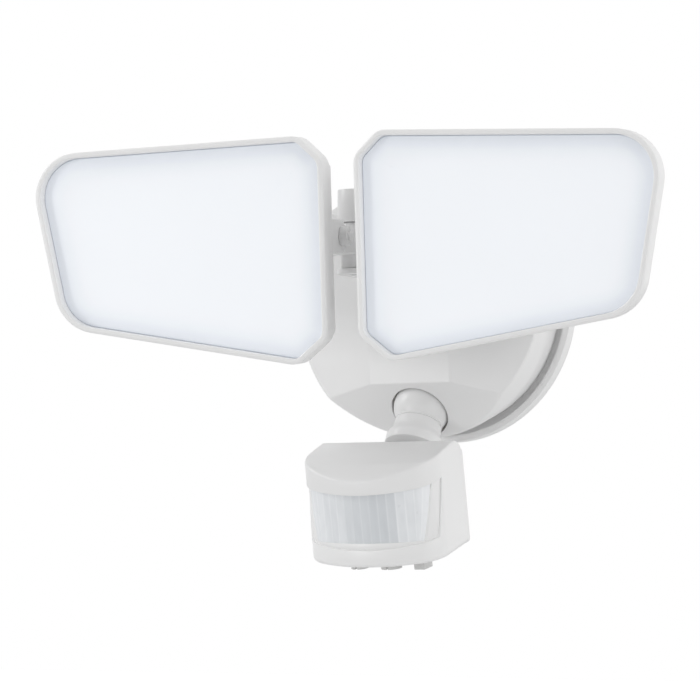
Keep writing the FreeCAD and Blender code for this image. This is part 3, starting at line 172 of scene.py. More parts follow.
def put(points, place):
    """Points of a piece's own frame carried to the row frame: turned, then shifted."""
    rotation, origin = place
    return points @ rotation.T + origin


# ---------------------------------------------------------------- meshes
def ring_faces(rows, columns, loop=False):
    """Quads between neighbouring rings; the last column meets the first, and so do the
    rings if loop is set."""
    index = np.arange(rows * columns).reshape(rows, columns)
    index = np.concatenate([index, index[:, :1]], axis=1)
    if loop:
        index = np.concatenate([index, index[:1]], axis=0)
    a, b, c, d = index[:-1, :-1], index[:-1, 1:], index[1:, 1:], index[1:, :-1]
    return np.stack([a, b, c, d], -1).reshape(-1, 4).tolist()


def closed_surface(rings, loop=False):
    """Vertices and faces of a closed solid from rings (rows, columns, 3).

    A loop joins the last ring to the first; otherwise each end is closed by a fan to its
    middle point.
    """
    rows, columns, _ = rings.shape
    points = rings.reshape(-1, 3)
    faces = ring_faces(rows, columns, loop)
    if not loop:
        middles = np.stack([rings[0].mean(0), rings[-1].mean(0)])
        first, last = len(points), len(points) + 1
        points = np.concatenate([points, middles])
        here = np.arange(columns)
        after = (here + 1) % columns
        end = (rows - 1) * columns
        faces += np.stack([after, here, np.full(columns, first)], -1).tolist()
        faces += np.stack([here + end, after + end, np.full(columns, last)], -1).tolist()
    return points, faces


def volume_of(points, faces):
    """Signed volume inside closed faces, by summing the tetrahedra to the origin."""
    total = 0.0
    for count in (3, 4):
        chosen = np.array([face for face in faces if len(face) == count], dtype=int)
        if not len(chosen):
            continue
        corner = points[chosen]
        total += np.einsum("ij,ij->", corner[:, 0], np.cross(corner[:, 1], corner[:, 2]))
        if count == 4:
            total += np.einsum("ij,ij->", corner[:, 0], np.cross(corner[:, 2], corner[:, 3]))
    return total / 6


def joined_mesh(name, surfaces, place):
    """One mesh in metres of closed surfaces in millimetres, each turned to face outwards."""
    verts, faces, shift = [], [], 0
    for points, own_faces in surfaces:
        if volume_of(points, own_faces) < 0:
            own_faces = [face[::-1] for face in own_faces]
        verts.append(put(points, place) * MM)
        faces += [[corner + shift for corner in face] for face in own_faces]
        shift += len(points)
    mesh = bpy.data.meshes.new(name)
    mesh.from_pydata(np.concatenate(verts).tolist(), [], faces)
    return mesh


def shade(mesh, sharp=35.0):
    """Smooth shading, but for the edges that turn by more than an angle in degrees."""
    mesh.polygons.foreach_set("use_smooth", np.ones(len(mesh.polygons), dtype=bool))
    mesh.set_sharp_from_angle(angle=math.radians(sharp))


def dress(name, mesh, material, node, body, sharp=35.0):
    """Put a mesh into the scene with its finish, its shading and the body it rides on."""
    piece = bpy.data.objects.new(name, mesh)
    bpy.context.scene.collection.objects.link(piece)
    mesh.materials.clear()
    mesh.materials.append(FINISH[material])
    shade(mesh, sharp)
    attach(piece, body or BODY_OF[node])
    if node:
        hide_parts(node)
    return piece


def build(name, surface, material, node=None, body=None, sharp=35.0, place=HOME):
    """One piece from a closed surface in millimetres, in place of a node or beside it."""
    mesh = joined_mesh(name, [surface], place)
    mesh.validate()
    return dress(name, mesh, material, node, body, sharp)


def keep_values(piece, name, values):
    """Store one number for each of a piece's vertices, for its material to read."""
    layer = piece.data.attributes.new(name, "FLOAT", "POINT")
    layer.data.foreach_set("value", values.astype(np.float32))


def applied(piece):
    """Fix a piece's modifiers into its mesh and shade it again."""
    graph = bpy.context.evaluated_depsgraph_get()
    graph.update()
    mesh = bpy.data.meshes.new_from_object(piece.evaluated_get(graph))
    piece.modifiers.clear()
    old = piece.data
    piece.data = mesh
    bpy.data.meshes.remove(old)
    shade(mesh)


def carve(piece, surfaces, place=HOME):
    """Cut closed surfaces out of a piece with an exact boolean."""
    mesh = joined_mesh("cutter", surfaces, place)
    cutter = bpy.data.objects.new("cutter", mesh)
    bpy.context.scene.collection.objects.link(cutter)
    boolean = piece.modifiers.new("cut", "BOOLEAN")
    boolean.object = cutter
    boolean.operation = "DIFFERENCE"
    boolean.solver = "EXACT"
    applied(piece)
    bpy.data.objects.remove(cutter)
    bpy.data.meshes.remove(mesh)


def rounded(corners, radii, inset=0.0, per_corner=12):
    """Points round a polygon whose corners are arcs.

    Each side is moved in by the inset along its normal, neighbouring sides are met again,
    and each corner's arc touches both sides at radius times tan(half the turn) from it.
    The corners run anticlockwise or clockwise; the inset always goes inwards.
    """
    corners = np.asarray(corners, float)
    area = np.sum(
        corners[:, 0] * np.roll(corners[:, 1], -1) - np.roll(corners[:, 0], -1) * corners[:, 1]
    )
    way = np.roll(corners, -1, 0) - corners
    way /= np.linalg.norm(way, axis=1)[:, None]
    inward = np.stack([-way[:, 1], way[:, 0]], -1) * np.sign(area)
    before, inward_before = np.roll(way, 1, 0), np.roll(inward, 1, 0)
    cross = before[:, 0] * way[:, 1] - before[:, 1] * way[:, 0]
    step = (inward - inward_before) * inset
    along = (step[:, 0] * way[:, 1] - step[:, 1] * way[:, 0]) / cross
    corner = corners + inward_before * inset + before * along[:, None]
    angle = np.arctan2(cross, np.sum(before * way, axis=1))
    radius = np.asarray(radii, float)
    reach = np.abs(radius * np.tan(angle / 2))
    start = corner - before * reach[:, None]
    turns = np.sign(angle)
    side = np.stack([-before[:, 1], before[:, 0]], -1) * turns[:, None]
    centre = start + side * radius[:, None]
    share = np.linspace(0, 1, per_corner)
    swing = angle[:, None] * share[None]
    c, s = np.cos(swing), np.sin(swing)
    arm = -side * radius[:, None]
    x = centre[:, None, 0] + arm[:, None, 0] * c - arm[:, None, 1] * s
    y = centre[:, None, 1] + arm[:, None, 0] * s + arm[:, None, 1] * c
    return np.stack([x.ravel(), y.ravel()], -1)


def lathe(profile, columns=96):
    """Rings of a (radius, height) profile carried round the Z axis."""
    profile = np.asarray(profile, float)
    angle = np.linspace(0, 2 * math.pi, columns, endpoint=False)
    x = profile[:, :1] * np.cos(angle)
    y = profile[:, :1] * np.sin(angle)
    z = np.repeat(profile[:, 1:], columns, axis=1)
    return np.stack([x, y, z], -1)


def cylinder(radius, start, end, columns=64):
    """A closed plain cylinder between two points, as a cutter."""
    start, end = np.asarray(start, float), np.asarray(end, float)
    axis = (end - start) / np.linalg.norm(end - start)
    side = np.cross(axis, [0.3, 0.5, 0.81])
    side /= np.linalg.norm(side)
    up = np.cross(axis, side)
    angle = np.linspace(0, 2 * math.pi, columns, endpoint=False)[:, None]
    rim = radius * (np.cos(angle) * side + np.sin(angle) * up)
    return closed_surface(np.stack([start + rim, end + rim]))


def cuboid(low, high):
    """A closed plain box between two corners, as a cutter."""
    low, high = np.asarray(low, float), np.asarray(high, float)
    square = np.array([[0, 0], [1, 0], [1, 1], [0, 1]])
    rings = []
    for level in (0, 1):
        unit = np.column_stack([square, np.full(4, level)])
        rings.append(low + unit * (high - low))
    return closed_surface(np.stack(rings))


# ---------------------------------------------------------------- finishes
# Sizes in mm over which any finish's tone and gloss drift.
TONE_DRIFT, GLOSS_DRIFT = 38.0, 6.0
# The diffuser's painted glow: over how many mm it falls off to painted shade at the rim,
# and how strong it is.
RIM_SHADE_REACH, PAINTED_GLOW_STRENGTH = 13.0, 1.8
# The film's streaks: their slant in degrees, their sizes in mm across, through and along the
# film, and how far they pull a strip's tone down at most.
STREAK_SLANT, STREAK_SIZES, STREAK_MOST = 24, (3.2, 20, 13), 0.13

# Each plain finish is named for the real material. Its values are: two tones, roughness, size
# and depth of its grain in mm, and where they differ its spread of roughness, IOR and metal.
# A grain too fine to show is drawn coarser than it is.
PLAIN_FINISHES = {
    # Moulded ASA: near-white and satin; its spark-eroded grain of 0.3 mm is drawn at 0.9.
    "white_plastic": ("moulded asa", "#E9E9E9", "#ECECEC", 0.33, 0.9, 0.006),
    # Powder coat on die-cast aluminium: the same white with a faint orange peel of 1.5 mm.
    "painted_aluminium": ("powder coat", "#E7E7E7", "#EBEBEB", 0.42, 1.5, 0.012),
    # Powder coat on steel fasteners: a greyer white, thinner, so nearly smooth.
    "painted_steel": ("powder coat on steel", "#DCDCDC", "#E2E2E2", 0.42, 1.2, 0.008),
    # Moulded polypropylene knobs: light grey and satin.
    "knob_plastic": ("grey polypropylene", "#CACAC9", "#D0D0CF", 0.38, 0.7, 0.005),
    # Moulded nylon inner parts: off-white and matte.
    "inner_plastic": ("natural nylon", "#DEDCD4", "#E4E2DA", 0.55, 0.8, 0.01),
    # Moulded phenolic component bodies: near-black and matte.
    "component_plastic": ("phenolic", "#242426", "#2C2C2E", 0.5, 0.5, 0.01),
    # Moulded EPDM rubber: dark grey and dull, with a dusty bloom.
    "seal_rubber": ("epdm rubber", "#2B2B2D", "#363638", 0.72, 0.6, 0.015),
    # Zinc plate on steel: bright metal, a little cloudy.
    "zinc_steel": ("zinc plate", "#B9BABC", "#C9CACC", 0.28, 0.5, 0.004, 0.08, None, 1.0),
    # Solder mask on glass-epoxy: glossy green over a faint weave.
    "circuit_board": ("green solder mask", "#1B5A37", "#216540", 0.25, 0.5, 0.006),
    # White solder mask on an aluminium board: a smooth white.
    "aluminium_board": ("white solder mask", "#DDDDDB", "#E4E4E2", 0.3, 0.6, 0.004),
    # Phosphor gel cast over a white chip package: pale yellow and glossy.
    "diode": ("phosphor gel", "#E6D27A", "#EEDC8C", 0.3, 0.4, 0.003),
    # Ferrite and varnished windings: dark and dull.
    "ferrite": ("ferrite", "#333336", "#3C3C3F", 0.6, 0.4, 0.01),
    # Shrunk sleeve of a capacitor: plain dark blue, a little glossy.
    "capacitor_sleeve": ("shrink sleeve", "#1F2A44", "#26314C", 0.35, 0.6, 0.004),
}


def linear(code):
    """An sRGB hex colour as linear red, green, blue and alpha."""
    parts = [int(code[i:i + 2], 16) / 255 for i in (1, 3, 5)]
    return [p / 12.92 if p <= 0.04045 else ((p + 0.055) / 1.055) ** 2.4 for p in parts] + [1.0]


def add(tree, kind, settings=(), sockets=(), links=()):
    """Add a node: properties by name, socket values by name, and links from outputs."""
    item = tree.nodes.new(kind)
    for name, value in dict(settings).items():
        setattr(item, name, value)
    for name, value in dict(sockets).items():
        item.inputs[name].default_value = value
    for name, source in dict(links).items():
        tree.links.new(source, item.inputs[name])
    return item


def new_tree(owner):
    """The emptied node tree of a material or a world."""
    owner.use_nodes = True
    owner.node_tree.nodes.clear()
    return owner.node_tree


def grained(name, low, high, rough, grain_mm, depth_mm, spread=0.04, ior=1.5, metal=0.0):
    """A surface with a fine grain: its colour drifts slowly between two tones, its roughness
    varies by the spread, and its bump is a noise of the grain's size."""
    material = bpy.data.materials.new(name)
    tree = new_tree(material)
    shader = add(tree, "ShaderNodeBsdfPrincipled")
    add(tree, "ShaderNodeOutputMaterial", links={"Surface": shader.outputs["BSDF"]})
    place = add(tree, "ShaderNodeTexCoord").outputs["Object"]
    drift, patch, grain = [
        add(
            tree, "ShaderNodeTexNoise",
            sockets={"Scale": 1 / (size * MM), "Detail": detail}, links={"Vector": place},
        ).outputs["Fac"]
        for size, detail in ((TONE_DRIFT, 2.0), (GLOSS_DRIFT, 3.0), (grain_mm, 2.0))
    ]
    tone = add(
        tree, "ShaderNodeMix", {"data_type": "RGBA"}, {6: linear(low), 7: linear(high)}, {0: drift},
    )
    gloss = add(
        tree, "ShaderNodeMapRange", sockets={"To Min": rough - spread, "To Max": rough + spread},
        links={"Value": patch},
    )
    bump = add(
        tree, "ShaderNodeBump", sockets={"Strength": 1.0, "Distance": depth_mm * MM},
        links={"Height": grain},
    )
    tree.links.new(tone.outputs[2], shader.inputs["Base Color"])
    tree.links.new(gloss.outputs["Result"], shader.inputs["Roughness"])
    tree.links.new(bump.outputs["Normal"], shader.inputs["Normal"])
    shader.inputs["Metallic"].default_value = metal
    if not metal:
        shader.inputs["IOR"].default_value = ior
    return material, tree, shader, place


def painted_glow_diffuser():
    """Opal polycarbonate, moulded, with a painted glow: an even white glow that falls off to
    painted shade and turns bluish near the rim, with a faint diffusing texture."""
    material, tree, shader, _ = grained(
        "opal polycarbonate", "#E5E7EA", "#E8EAED", 0.34, 0.5, 0.004, spread=0.03, ior=1.58,
    )
    # Distance from the rim sets the painted glow, which dims to painted shade at the rim.
    edge = add(tree, "ShaderNodeAttribute", {"attribute_name": "edge_mm"})
    fall = add(
        tree, "ShaderNodeMapRange", {"interpolation_type": "SMOOTHSTEP"},
        {"From Min": 0.0, "From Max": RIM_SHADE_REACH}, {"Value": edge.outputs["Fac"]},
    )
    glow = add(tree, "ShaderNodeValToRGB", links={"Fac": fall.outputs["Result"]})
    glow.color_ramp.elements[0].color = linear("#3B414A")
    glow.color_ramp.elements[1].color = linear("#5D5F62")
    glow.color_ramp.elements.new(0.45).color = linear("#53575C")
    # Emission paints the glow on the diffuser; it is dimmer and bluish near the rim as painted
    # shade.
    tree.links.new(glow.outputs["Color"], shader.inputs["Emission Color"])
    shader.inputs["Emission Strength"].default_value = PAINTED_GLOW_STRENGTH
    return material


def segmented_film():
    """High-density polyethylene lens film, moulded with upright strips of ring grooves:
    milky, with strips that differ a little, soft slanting darker streaks, and painted light in the
    strips' tone: a dip of painted shade, a step of painted reflection and painted highlights at the
    grooves."""
    material, tree, shader, place = grained(
        "milky polyethylene", "#D4D8DB", "#DDE0E2", 0.28, 0.8, 0.002, spread=0.015, ior=1.51,
    )
    # The strip tone holds random differences together with painted shade, painted reflection and
    # painted groove highlights.
    strip = add(tree, "ShaderNodeAttribute", {"attribute_name": "strip_tone_and_reflection"})
    tone = add(tree, "ShaderNodeValToRGB", links={"Fac": strip.outputs["Fac"]})
    tone.color_ramp.elements[0].color = linear("#CBCFD3")
    tone.color_ramp.elements[1].color = linear("#F4F6F8")
    scale = tuple(1 / (size * MM) for size in STREAK_SIZES)
    slant = add(
        tree, "ShaderNodeMapping",
        sockets={"Rotation": (0, math.radians(STREAK_SLANT), 0), "Scale": scale},
        links={"Vector": place},
    )
    streak = add(
        tree, "ShaderNodeTexNoise", sockets={"Scale": 1.0, "Detail": 1.0},
        links={"Vector": slant.outputs["Vector"]},
    )
    soft = add(
        tree, "ShaderNodeMapRange", {"interpolation_type": "SMOOTHSTEP"},
        {"From Min": 0.35, "From Max": 0.75, "To Min": 0.0, "To Max": STREAK_MOST},
        {"Value": streak.outputs["Fac"]},
    )
    streaked = add(
        tree, "ShaderNodeMix", {"data_type": "RGBA"}, {7: linear("#B4B8BD")},
        {0: soft.outputs["Result"], 6: tone.outputs["Color"]},
    )
    tree.links.new(streaked.outputs[2], shader.inputs["Base Color"])
    shader.inputs["Coat Weight"].default_value = 0.15
    return material


FINISH = {slot: grained(*values)[0] for slot, values in PLAIN_FINISHES.items()}
FINISH["diffuser"] = painted_glow_diffuser()
FINISH["sensor_lens"] = segmented_film()


# ---------------------------------------------------------------- pieces with the frame's shape
def eased(node, width, sharp=30.0, wide=()):
    """A copy of a node with its facets merged and its edges rounded over by a width in mm.

    The wide roundings come first: each is a chooser of edges and a width of its own.
    """
    source = frame["nodes"][node]
    shape = bmesh.new()
    shape.from_mesh(source.data)
    bmesh.ops.remove_doubles(shape, verts=shape.verts, dist=SAME_POINT * MM)
    bmesh.ops.dissolve_limit(
        shape, angle_limit=math.radians(SAME_FACE), use_dissolve_boundaries=False,
        verts=shape.verts, edges=shape.edges,
    )
    for chosen, reach in wide:
        edges = [edge for edge in shape.edges if len(edge.link_faces) == 2 and chosen(edge)]
        bmesh.ops.bevel(
            shape, geom=edges, offset=reach * MM, offset_type="OFFSET", segments=6,
            profile=0.5, affect="EDGES", clamp_overlap=False,
        )
    mesh = bpy.data.meshes.new(f"eased_{node}")
    shape.to_mesh(mesh)
    shape.free()
    piece = dress(f"eased_{node}", mesh, SLOT_OF[node], node, None, sharp)
    bevel = piece.modifiers.new("ease", "BEVEL")
    bevel.width = width * MM
    bevel.segments = 2
    bevel.limit_method = "ANGLE"
    bevel.angle_limit = math.radians(sharp)
    bevel.use_clamp_overlap = True
    bevel.harden_normals = False
    applied(piece)


# ---------------------------------------------------------------- flood heads
def head_corners(side):
    """Corners (X, Z) of a head's face in its frame, the inner edge first."""
    way = 1 if side == "right" else -1
    inner = -way * HEAD_INNER
    top, low = HEAD_H / 2 - HEAD_DROP, -HEAD_H / 2 - HEAD_DROP
    fall = TOP_FALL / HEAD_W
    rise = OUTER_RISE / (HEAD_W - OUTER_LEAN)
    return [
        (inner, low + LOW_CHAMFER),
        (inner, top - TOP_CHAMFER),
        (inner + way * TOP_CHAMFER, top - TOP_CHAMFER * fall),
        (inner + way * HEAD_W, top - TOP_FALL),
        (inner + way * (HEAD_W - OUTER_LEAN), low + OUTER_RISE),
        (inner + way * LOW_CHAMFER, low + LOW_CHAMFER * rise),
    ]


def head_ring(side, inset, y):
    """The face's outline moved in by an inset, at a depth, as one ring of points."""
    radii = [NOSE_R, NOSE_R, NOSE_R, CORNER_R, CORNER_R, NOSE_R]
    radii = [max(radius - inset, NOSE_LEAST) for radius in radii]
    flat = rounded(head_corners(side), radii, inset, CORNER_POINTS)
    return np.column_stack([flat[:, 0], np.full(len(flat), y), flat[:, 1]])


def make_bezel(side):
    """The frame: a profile of (inset, depth) corners, each eased by its own radius, carried
    round the face's outline and joined to itself."""
    lip, ledge, seat = RIM_WIDTH + LIP_STEP, RIM_WIDTH + LEDGE_WIDTH, LENS_BACK + 0.02
    profile = np.array([
        (0.0, FRAME_BACK, 0.5), (0.0, RIM_FRONT, 0.95), (RIM_WIDTH, RIM_FRONT, 0.55),
        (lip, LENS_FRONT - 0.2, 0.05), (lip, seat, 0.05), (ledge, seat, 0.3),
        (ledge, FRAME_BACK, 0.3),
    ])
    curve = rounded(profile[:, :2], profile[:, 2], per_corner=6)
    rings = np.stack([head_ring(side, inset, y) for inset, y in curve])
    surface = closed_surface(rings, loop=True)
    build(f"{side}_frame", surface, "white_plastic", f"{side}_bezel", place=HEAD_PLACE[side])


def make_lens(side):
    """The diffuser: rings of growing inset on its face, eased at the rim, then drawn evenly
    to the middle. Each point keeps its distance from the rim in mm, up to the last inset."""
    rim = RIM_WIDTH + LENS_GAP
    face = [head_ring(side, rim + inset, LENS_FRONT + behind) for inset, behind in LENS_RINGS]
    last = face[-1]
    middle = last.mean(0)
    face += [middle + (last - middle) * share for share in MIDDLE_SHARES]
    back = head_ring(side, rim + 0.3, LENS_BACK - 0.05)
    rings = np.stack([back] + face)
    surface = closed_surface(rings)
    piece = build(f"{side}_panel", surface, "diffuser", f"{side}_lens", place=HEAD_PLACE[side])
    furthest = LENS_RINGS[-1][0]
    edges = [0.0] + [inset for inset, _ in LENS_RINGS] + [furthest] * len(MIDDLE_SHARES)
    values = np.concatenate([np.repeat(edges, rings.shape[1]), [0.0, furthest]])
    keep_values(piece, "edge_mm", values)


def outline_inset(side, x, z):
    """How far a place lies inside a head's outline, by its nearest side."""
    corners = np.array(head_corners(side))
    way = np.roll(corners, -1, 0) - corners
    way /= np.linalg.norm(way, axis=1)[:, None]
    off = np.array([x, z]) - corners
    return np.abs(way[:, 0] * off[:, 1] - way[:, 1] * off[:, 0]).min()


def make_tray(side):
    """The tray with its rear edge rounded over where its sides meet its back."""
    rotation, origin = HEAD_PLACE[side]

    def rear_rim(edge):
        """True for an edge on the tray's outline between an upright side and the back."""
        ends = [rotation.T @ (np.array(corner.co) / MM - origin) for corner in edge.verts]
        if any(abs(outline_inset(side, x, z) - TRAY_INSET) > 0.25 for x, _, z in ends):
            return False
        back = [(rotation.T @ np.array(face.normal))[1] for face in edge.link_faces]
        return max(back) > 0.99 and abs(min(back)) < 0.05

    eased(f"{side}_rear_tray", TRAY_EASE, wide=[(rear_rim, TRAY_ROUND)])


# ---------------------------------------------------------------- canopy
def blend_low(first, second, reach):
    """The lower of two heights, rounded over where they differ by less than the reach."""
    share = np.maximum(reach - np.abs(first - second), 0) / reach
    return np.minimum(first, second) - share * share * reach / 4


def front_depth(radius, angle):
    """Depth of the cover's front from the wall: a flat middle, met by two side slopes and
    two end slopes with eased creases."""
    x, z = np.abs(radius * np.cos(angle)), np.abs(radius * np.sin(angle))
    sides = COVER_DEPTH - (x - FACET_X) * SIDE_SLOPE
    ends = COVER_DEPTH - (z - FACET_Z) * END_SLOPE
    flat = np.full_like(x, COVER_DEPTH)
    return blend_low(blend_low(flat, sides, SIDE_EASE), ends, END_EASE)


def side_radius(depth):
    """Radius of the drum at a depth: straight to the shoulder, then drawn in to the foot."""
    share = np.clip((SHOULDER - depth) / (SHOULDER - FOOT_DEPTH), 0, 1)
    return COVER_R - (COVER_R - FOOT_R) * share


def rim_radius(angle):
    """Radius at which the front meets the drum, found by going from one to the other until
    they agree."""
    rim = np.full(len(angle), COVER_R)
    for _ in range(40):
        rim = side_radius(front_depth(rim, angle))
    return rim


def front_rows(angle, edge):
    """Radii of the front's rows at each angle, from near the middle out to the edge.

    Rows are gathered where the profile leaves the flat middle, and again at the mitre
    between a side slope and an end slope, where the angle's profile crosses one.
    """
    across, upward = np.abs(np.cos(angle)), np.abs(np.sin(angle))
    crease = np.minimum(FACET_X / np.maximum(across, 1e-6), FACET_Z / np.maximum(upward, 1e-6))
    rates = np.maximum(END_SLOPE * upward - SIDE_SLOPE * across, 1e-6)
    mitre = (FACET_Z * END_SLOPE - FACET_X * SIDE_SLOPE) / rates
    mitre = np.where(mitre > crease, mitre, crease + 4)
    stops = [
        (np.full(len(angle), 0.4), crease - CREASE_HALF, 10),
        (crease - CREASE_HALF, crease + CREASE_HALF, 7),
        (crease + CREASE_HALF, mitre - CREASE_HALF, 6),
        (mitre - CREASE_HALF, mitre + CREASE_HALF, 7),
        (mitre + CREASE_HALF, edge, 8),
    ]
    radius = np.concatenate([np.linspace(start, end, count) for start, end, count in stops])
    order = np.arange(len(radius))[:, None]
    radius = np.minimum(radius, edge - order[::-1] * 0.02)
    return np.maximum.accumulate(radius + order * 1e-4, axis=0)


def bend(start, corner, end):
    """Rows of a quadratic curve from a start, which it leaves out, to an end, with weights
    of (1 - t) squared, 2 t (1 - t) and t squared for the start, corner and end."""
    t = np.linspace(0, 1, 8)[1:, None]
    return (1 - t) ** 2 * start + 2 * t * (1 - t) * corner + t ** 2 * end


def make_cover():
    """The canopy cover. At each angle the profile runs over the front from the middle,
    rounds the rim with a quadratic curve, follows the drum to its foot and comes back
    inside the wall."""
    angle = np.linspace(0, 2 * math.pi, COVER_COLUMNS, endpoint=False)
    rim_r = rim_radius(angle)
    rim_d = front_depth(rim_r, angle)
    front_r = front_rows(angle, rim_r - RIM_EASE)
    front_d = front_depth(front_r, angle)
    low_d = rim_d - RIM_EASE
    low_r = side_radius(low_d)
    bend_r = bend(front_r[-1], rim_r, low_r)
    bend_d = bend(front_d[-1], rim_d, low_d)
    drum_d = low_d + (FOOT_DEPTH + 0.4 - low_d) * np.linspace(0, 1, 9)[1:, None]
    drum_r = side_radius(drum_d)
    foot_r = np.repeat([[FOOT_R - 0.3], [FOOT_R - COVER_WALL]], COVER_COLUMNS, axis=1)
    foot_d = np.full((2, COVER_COLUMNS), FOOT_DEPTH)
    rise = rim_d - COVER_WALL - 1.5 - FOOT_DEPTH
    wall_d = FOOT_DEPTH + rise * np.linspace(0.05, 1, 6)[:, None]
    wall_r = side_radius(wall_d) - COVER_WALL
    inside_r = wall_r[-1] * np.linspace(0.97, 0.02, 24)[:, None]
    inside_d = front_depth(inside_r * 1.03, angle) - COVER_WALL
    all_r = np.concatenate([front_r, bend_r, drum_r, foot_r, wall_r, inside_r])
    all_d = np.concatenate([front_d, bend_d, drum_d, foot_d, wall_d, inside_d])
    rings = np.stack([all_r * np.cos(angle), -all_d, all_r * np.sin(angle)], -1)
    piece = build("canopy_shell", closed_surface(rings), "white_plastic", "canopy_cover")
    lean = turn("x", math.degrees(math.atan(END_SLOPE)))
    centre = np.array([0, -COVER_DEPTH, -FACET_Z])
    centre = centre + lean @ np.array([0, 0, -SOCKET_DROP])
    out = lean @ np.array([0, -SOCKET_REACH, 0])
    socket = cylinder(SOCKET_R, centre - out, centre + out, 128)
    plug_hole = cylinder(PLUG_R, (0, -PLUG_FROM, 0), (0, -PLUG_TO, 0))
    carve(piece, [socket, plug_hole])


# ---------------------------------------------------------------- sensor arm
def make_arm():
    """The arm turned about its axis: ball, waist with a collar groove, flare and skirt. Its
    tongue is a flat bar with a round end, shrunk a little at its two faces."""
    ball = np.radians(np.linspace(BALL_START, BALL_STOP, 26))[1:, None]
    profile = np.concatenate([BALL_R * np.hstack([np.cos(ball), np.sin(ball)]), ARM_PROFILE])
    tube = closed_surface(lathe(profile))
    piece = build("arm_tube", tube, "white_plastic", "sensor_arm", place=ARM_PLACE)
    carve(piece, [cuboid(*ARM_SLOT)], ARM_PLACE)
    half, top, end, near = TONGUE_HALF, TONGUE_TOP, TONGUE_END, TONGUE_HALF - TONGUE_EASE
    corners = [(-half, top), (half, top), (half, end), (-half, end)]
    outline = rounded(corners, [0.2, 0.2, TONGUE_R, TONGUE_R])
    pin = np.array([0, TONGUE_PIN])
    rings = []
    for x, shrink in ((-half, TONGUE_SHRINK), (-near, 0.0), (near, 0.0), (half, TONGUE_SHRINK)):
        flat = outline * (1 - shrink) + pin * shrink
        rings.append(np.column_stack([np.full(len(flat), x), flat]))
    tongue = closed_surface(np.stack(rings))
    build("arm_tongue", tongue, "white_plastic", None, BODY_OF["sensor_arm"], place=ARM_PLACE)


# ---------------------------------------------------------------- sensor head
def in_sensor(point):
    """A point of the row frame in metres, in the sensor head's own frame in millimetres."""
    rotation, origin = SENSOR_PLACE
    return rotation.T @ (np.array(point) / MM - origin)


def plan_inset(x, y):
    """How far a place lies inside the sensor head's plan, by its nearest side or arc."""
    far = abs(x) - PLAN_CORNER[0]
    if y > PLAN_CORNER[1]:
        return PLAN_HALF - abs(x)
    if math.atan2(far, PLAN_CORNER[1] - y) > PLAN_SWING:
        return PLAN_CORNER_R - math.hypot(far, y - PLAN_CORNER[1])
    return PLAN_FRONT_R - math.hypot(x, y - PLAN_CENTRE)


def outer_rim(edge):
    """True for an edge where the head's upright walls meet its hood or its underside."""
    rotation = SENSOR_PLACE[0]
    ends = [in_sensor(corner.co) for corner in edge.verts]
    if any(abs(plan_inset(x, y)) > ON_OUTLINE for x, y, _ in ends):
        return False
    if all(y > HEAD_BACK - ON_SEAM for _, y, _ in ends):
        return False
    if all(abs(y - SEAM) < ON_SEAM for _, y, _ in ends):
        return False
    normals = [rotation.T @ np.array(face.normal) for face in edge.link_faces]
    upright = [abs(normal[2]) < 0.05 for normal in normals]
    level = [abs(normal[0]) < 0.05 and abs(normal[2]) > 0.3 for normal in normals]
    return any(upright) and any(level)


def hood_rim(edge):
    """True for a rim edge on the hood."""
    return all(in_sensor(corner.co)[2] > HOOD_LEAST for corner in edge.verts) and outer_rim(edge)


def chin_rim(edge):
    """True for a rim edge at the underside."""
    return all(in_sensor(corner.co)[2] < CHIN_MOST for corner in edge.verts) and outer_rim(edge)


def make_sensor_shells():
    """The sensor's front shell and rear cover, their outer rims rounded more than the rest,
    and the frame round the lens."""
    for node, (ease, hood, chin) in SHELL_EASES.items():
        eased(node, ease, SHELL_SHARP, [(hood_rim, hood), (chin_rim, chin)])
    eased("lens_frame", LENS_FRAME_EASE)


def plan_point(along, inset):
    """Points (X, Y) on the head's plan moved in by an inset, by arc length from its middle.

    The first part of the length turns about the front arc's centre, the rest about the
    corner's.
    """
    far = np.abs(along)
    front = (PLAN_FRONT_R - inset) * PLAN_SWING
    first = np.minimum(far, front) / (PLAN_FRONT_R - inset)
    rest = PLAN_SWING + np.maximum(far - front, 0) / (PLAN_CORNER_R - inset)
    round_x = PLAN_CORNER[0] + (PLAN_CORNER_R - inset) * np.sin(rest)
    round_y = PLAN_CORNER[1] - (PLAN_CORNER_R - inset) * np.cos(rest)
    x = np.where(far < front, (PLAN_FRONT_R - inset) * np.sin(first), round_x)
    y = np.where(far < front, PLAN_CENTRE - (PLAN_FRONT_R - inset) * np.cos(first), round_y)
    return x * np.sign(along), y


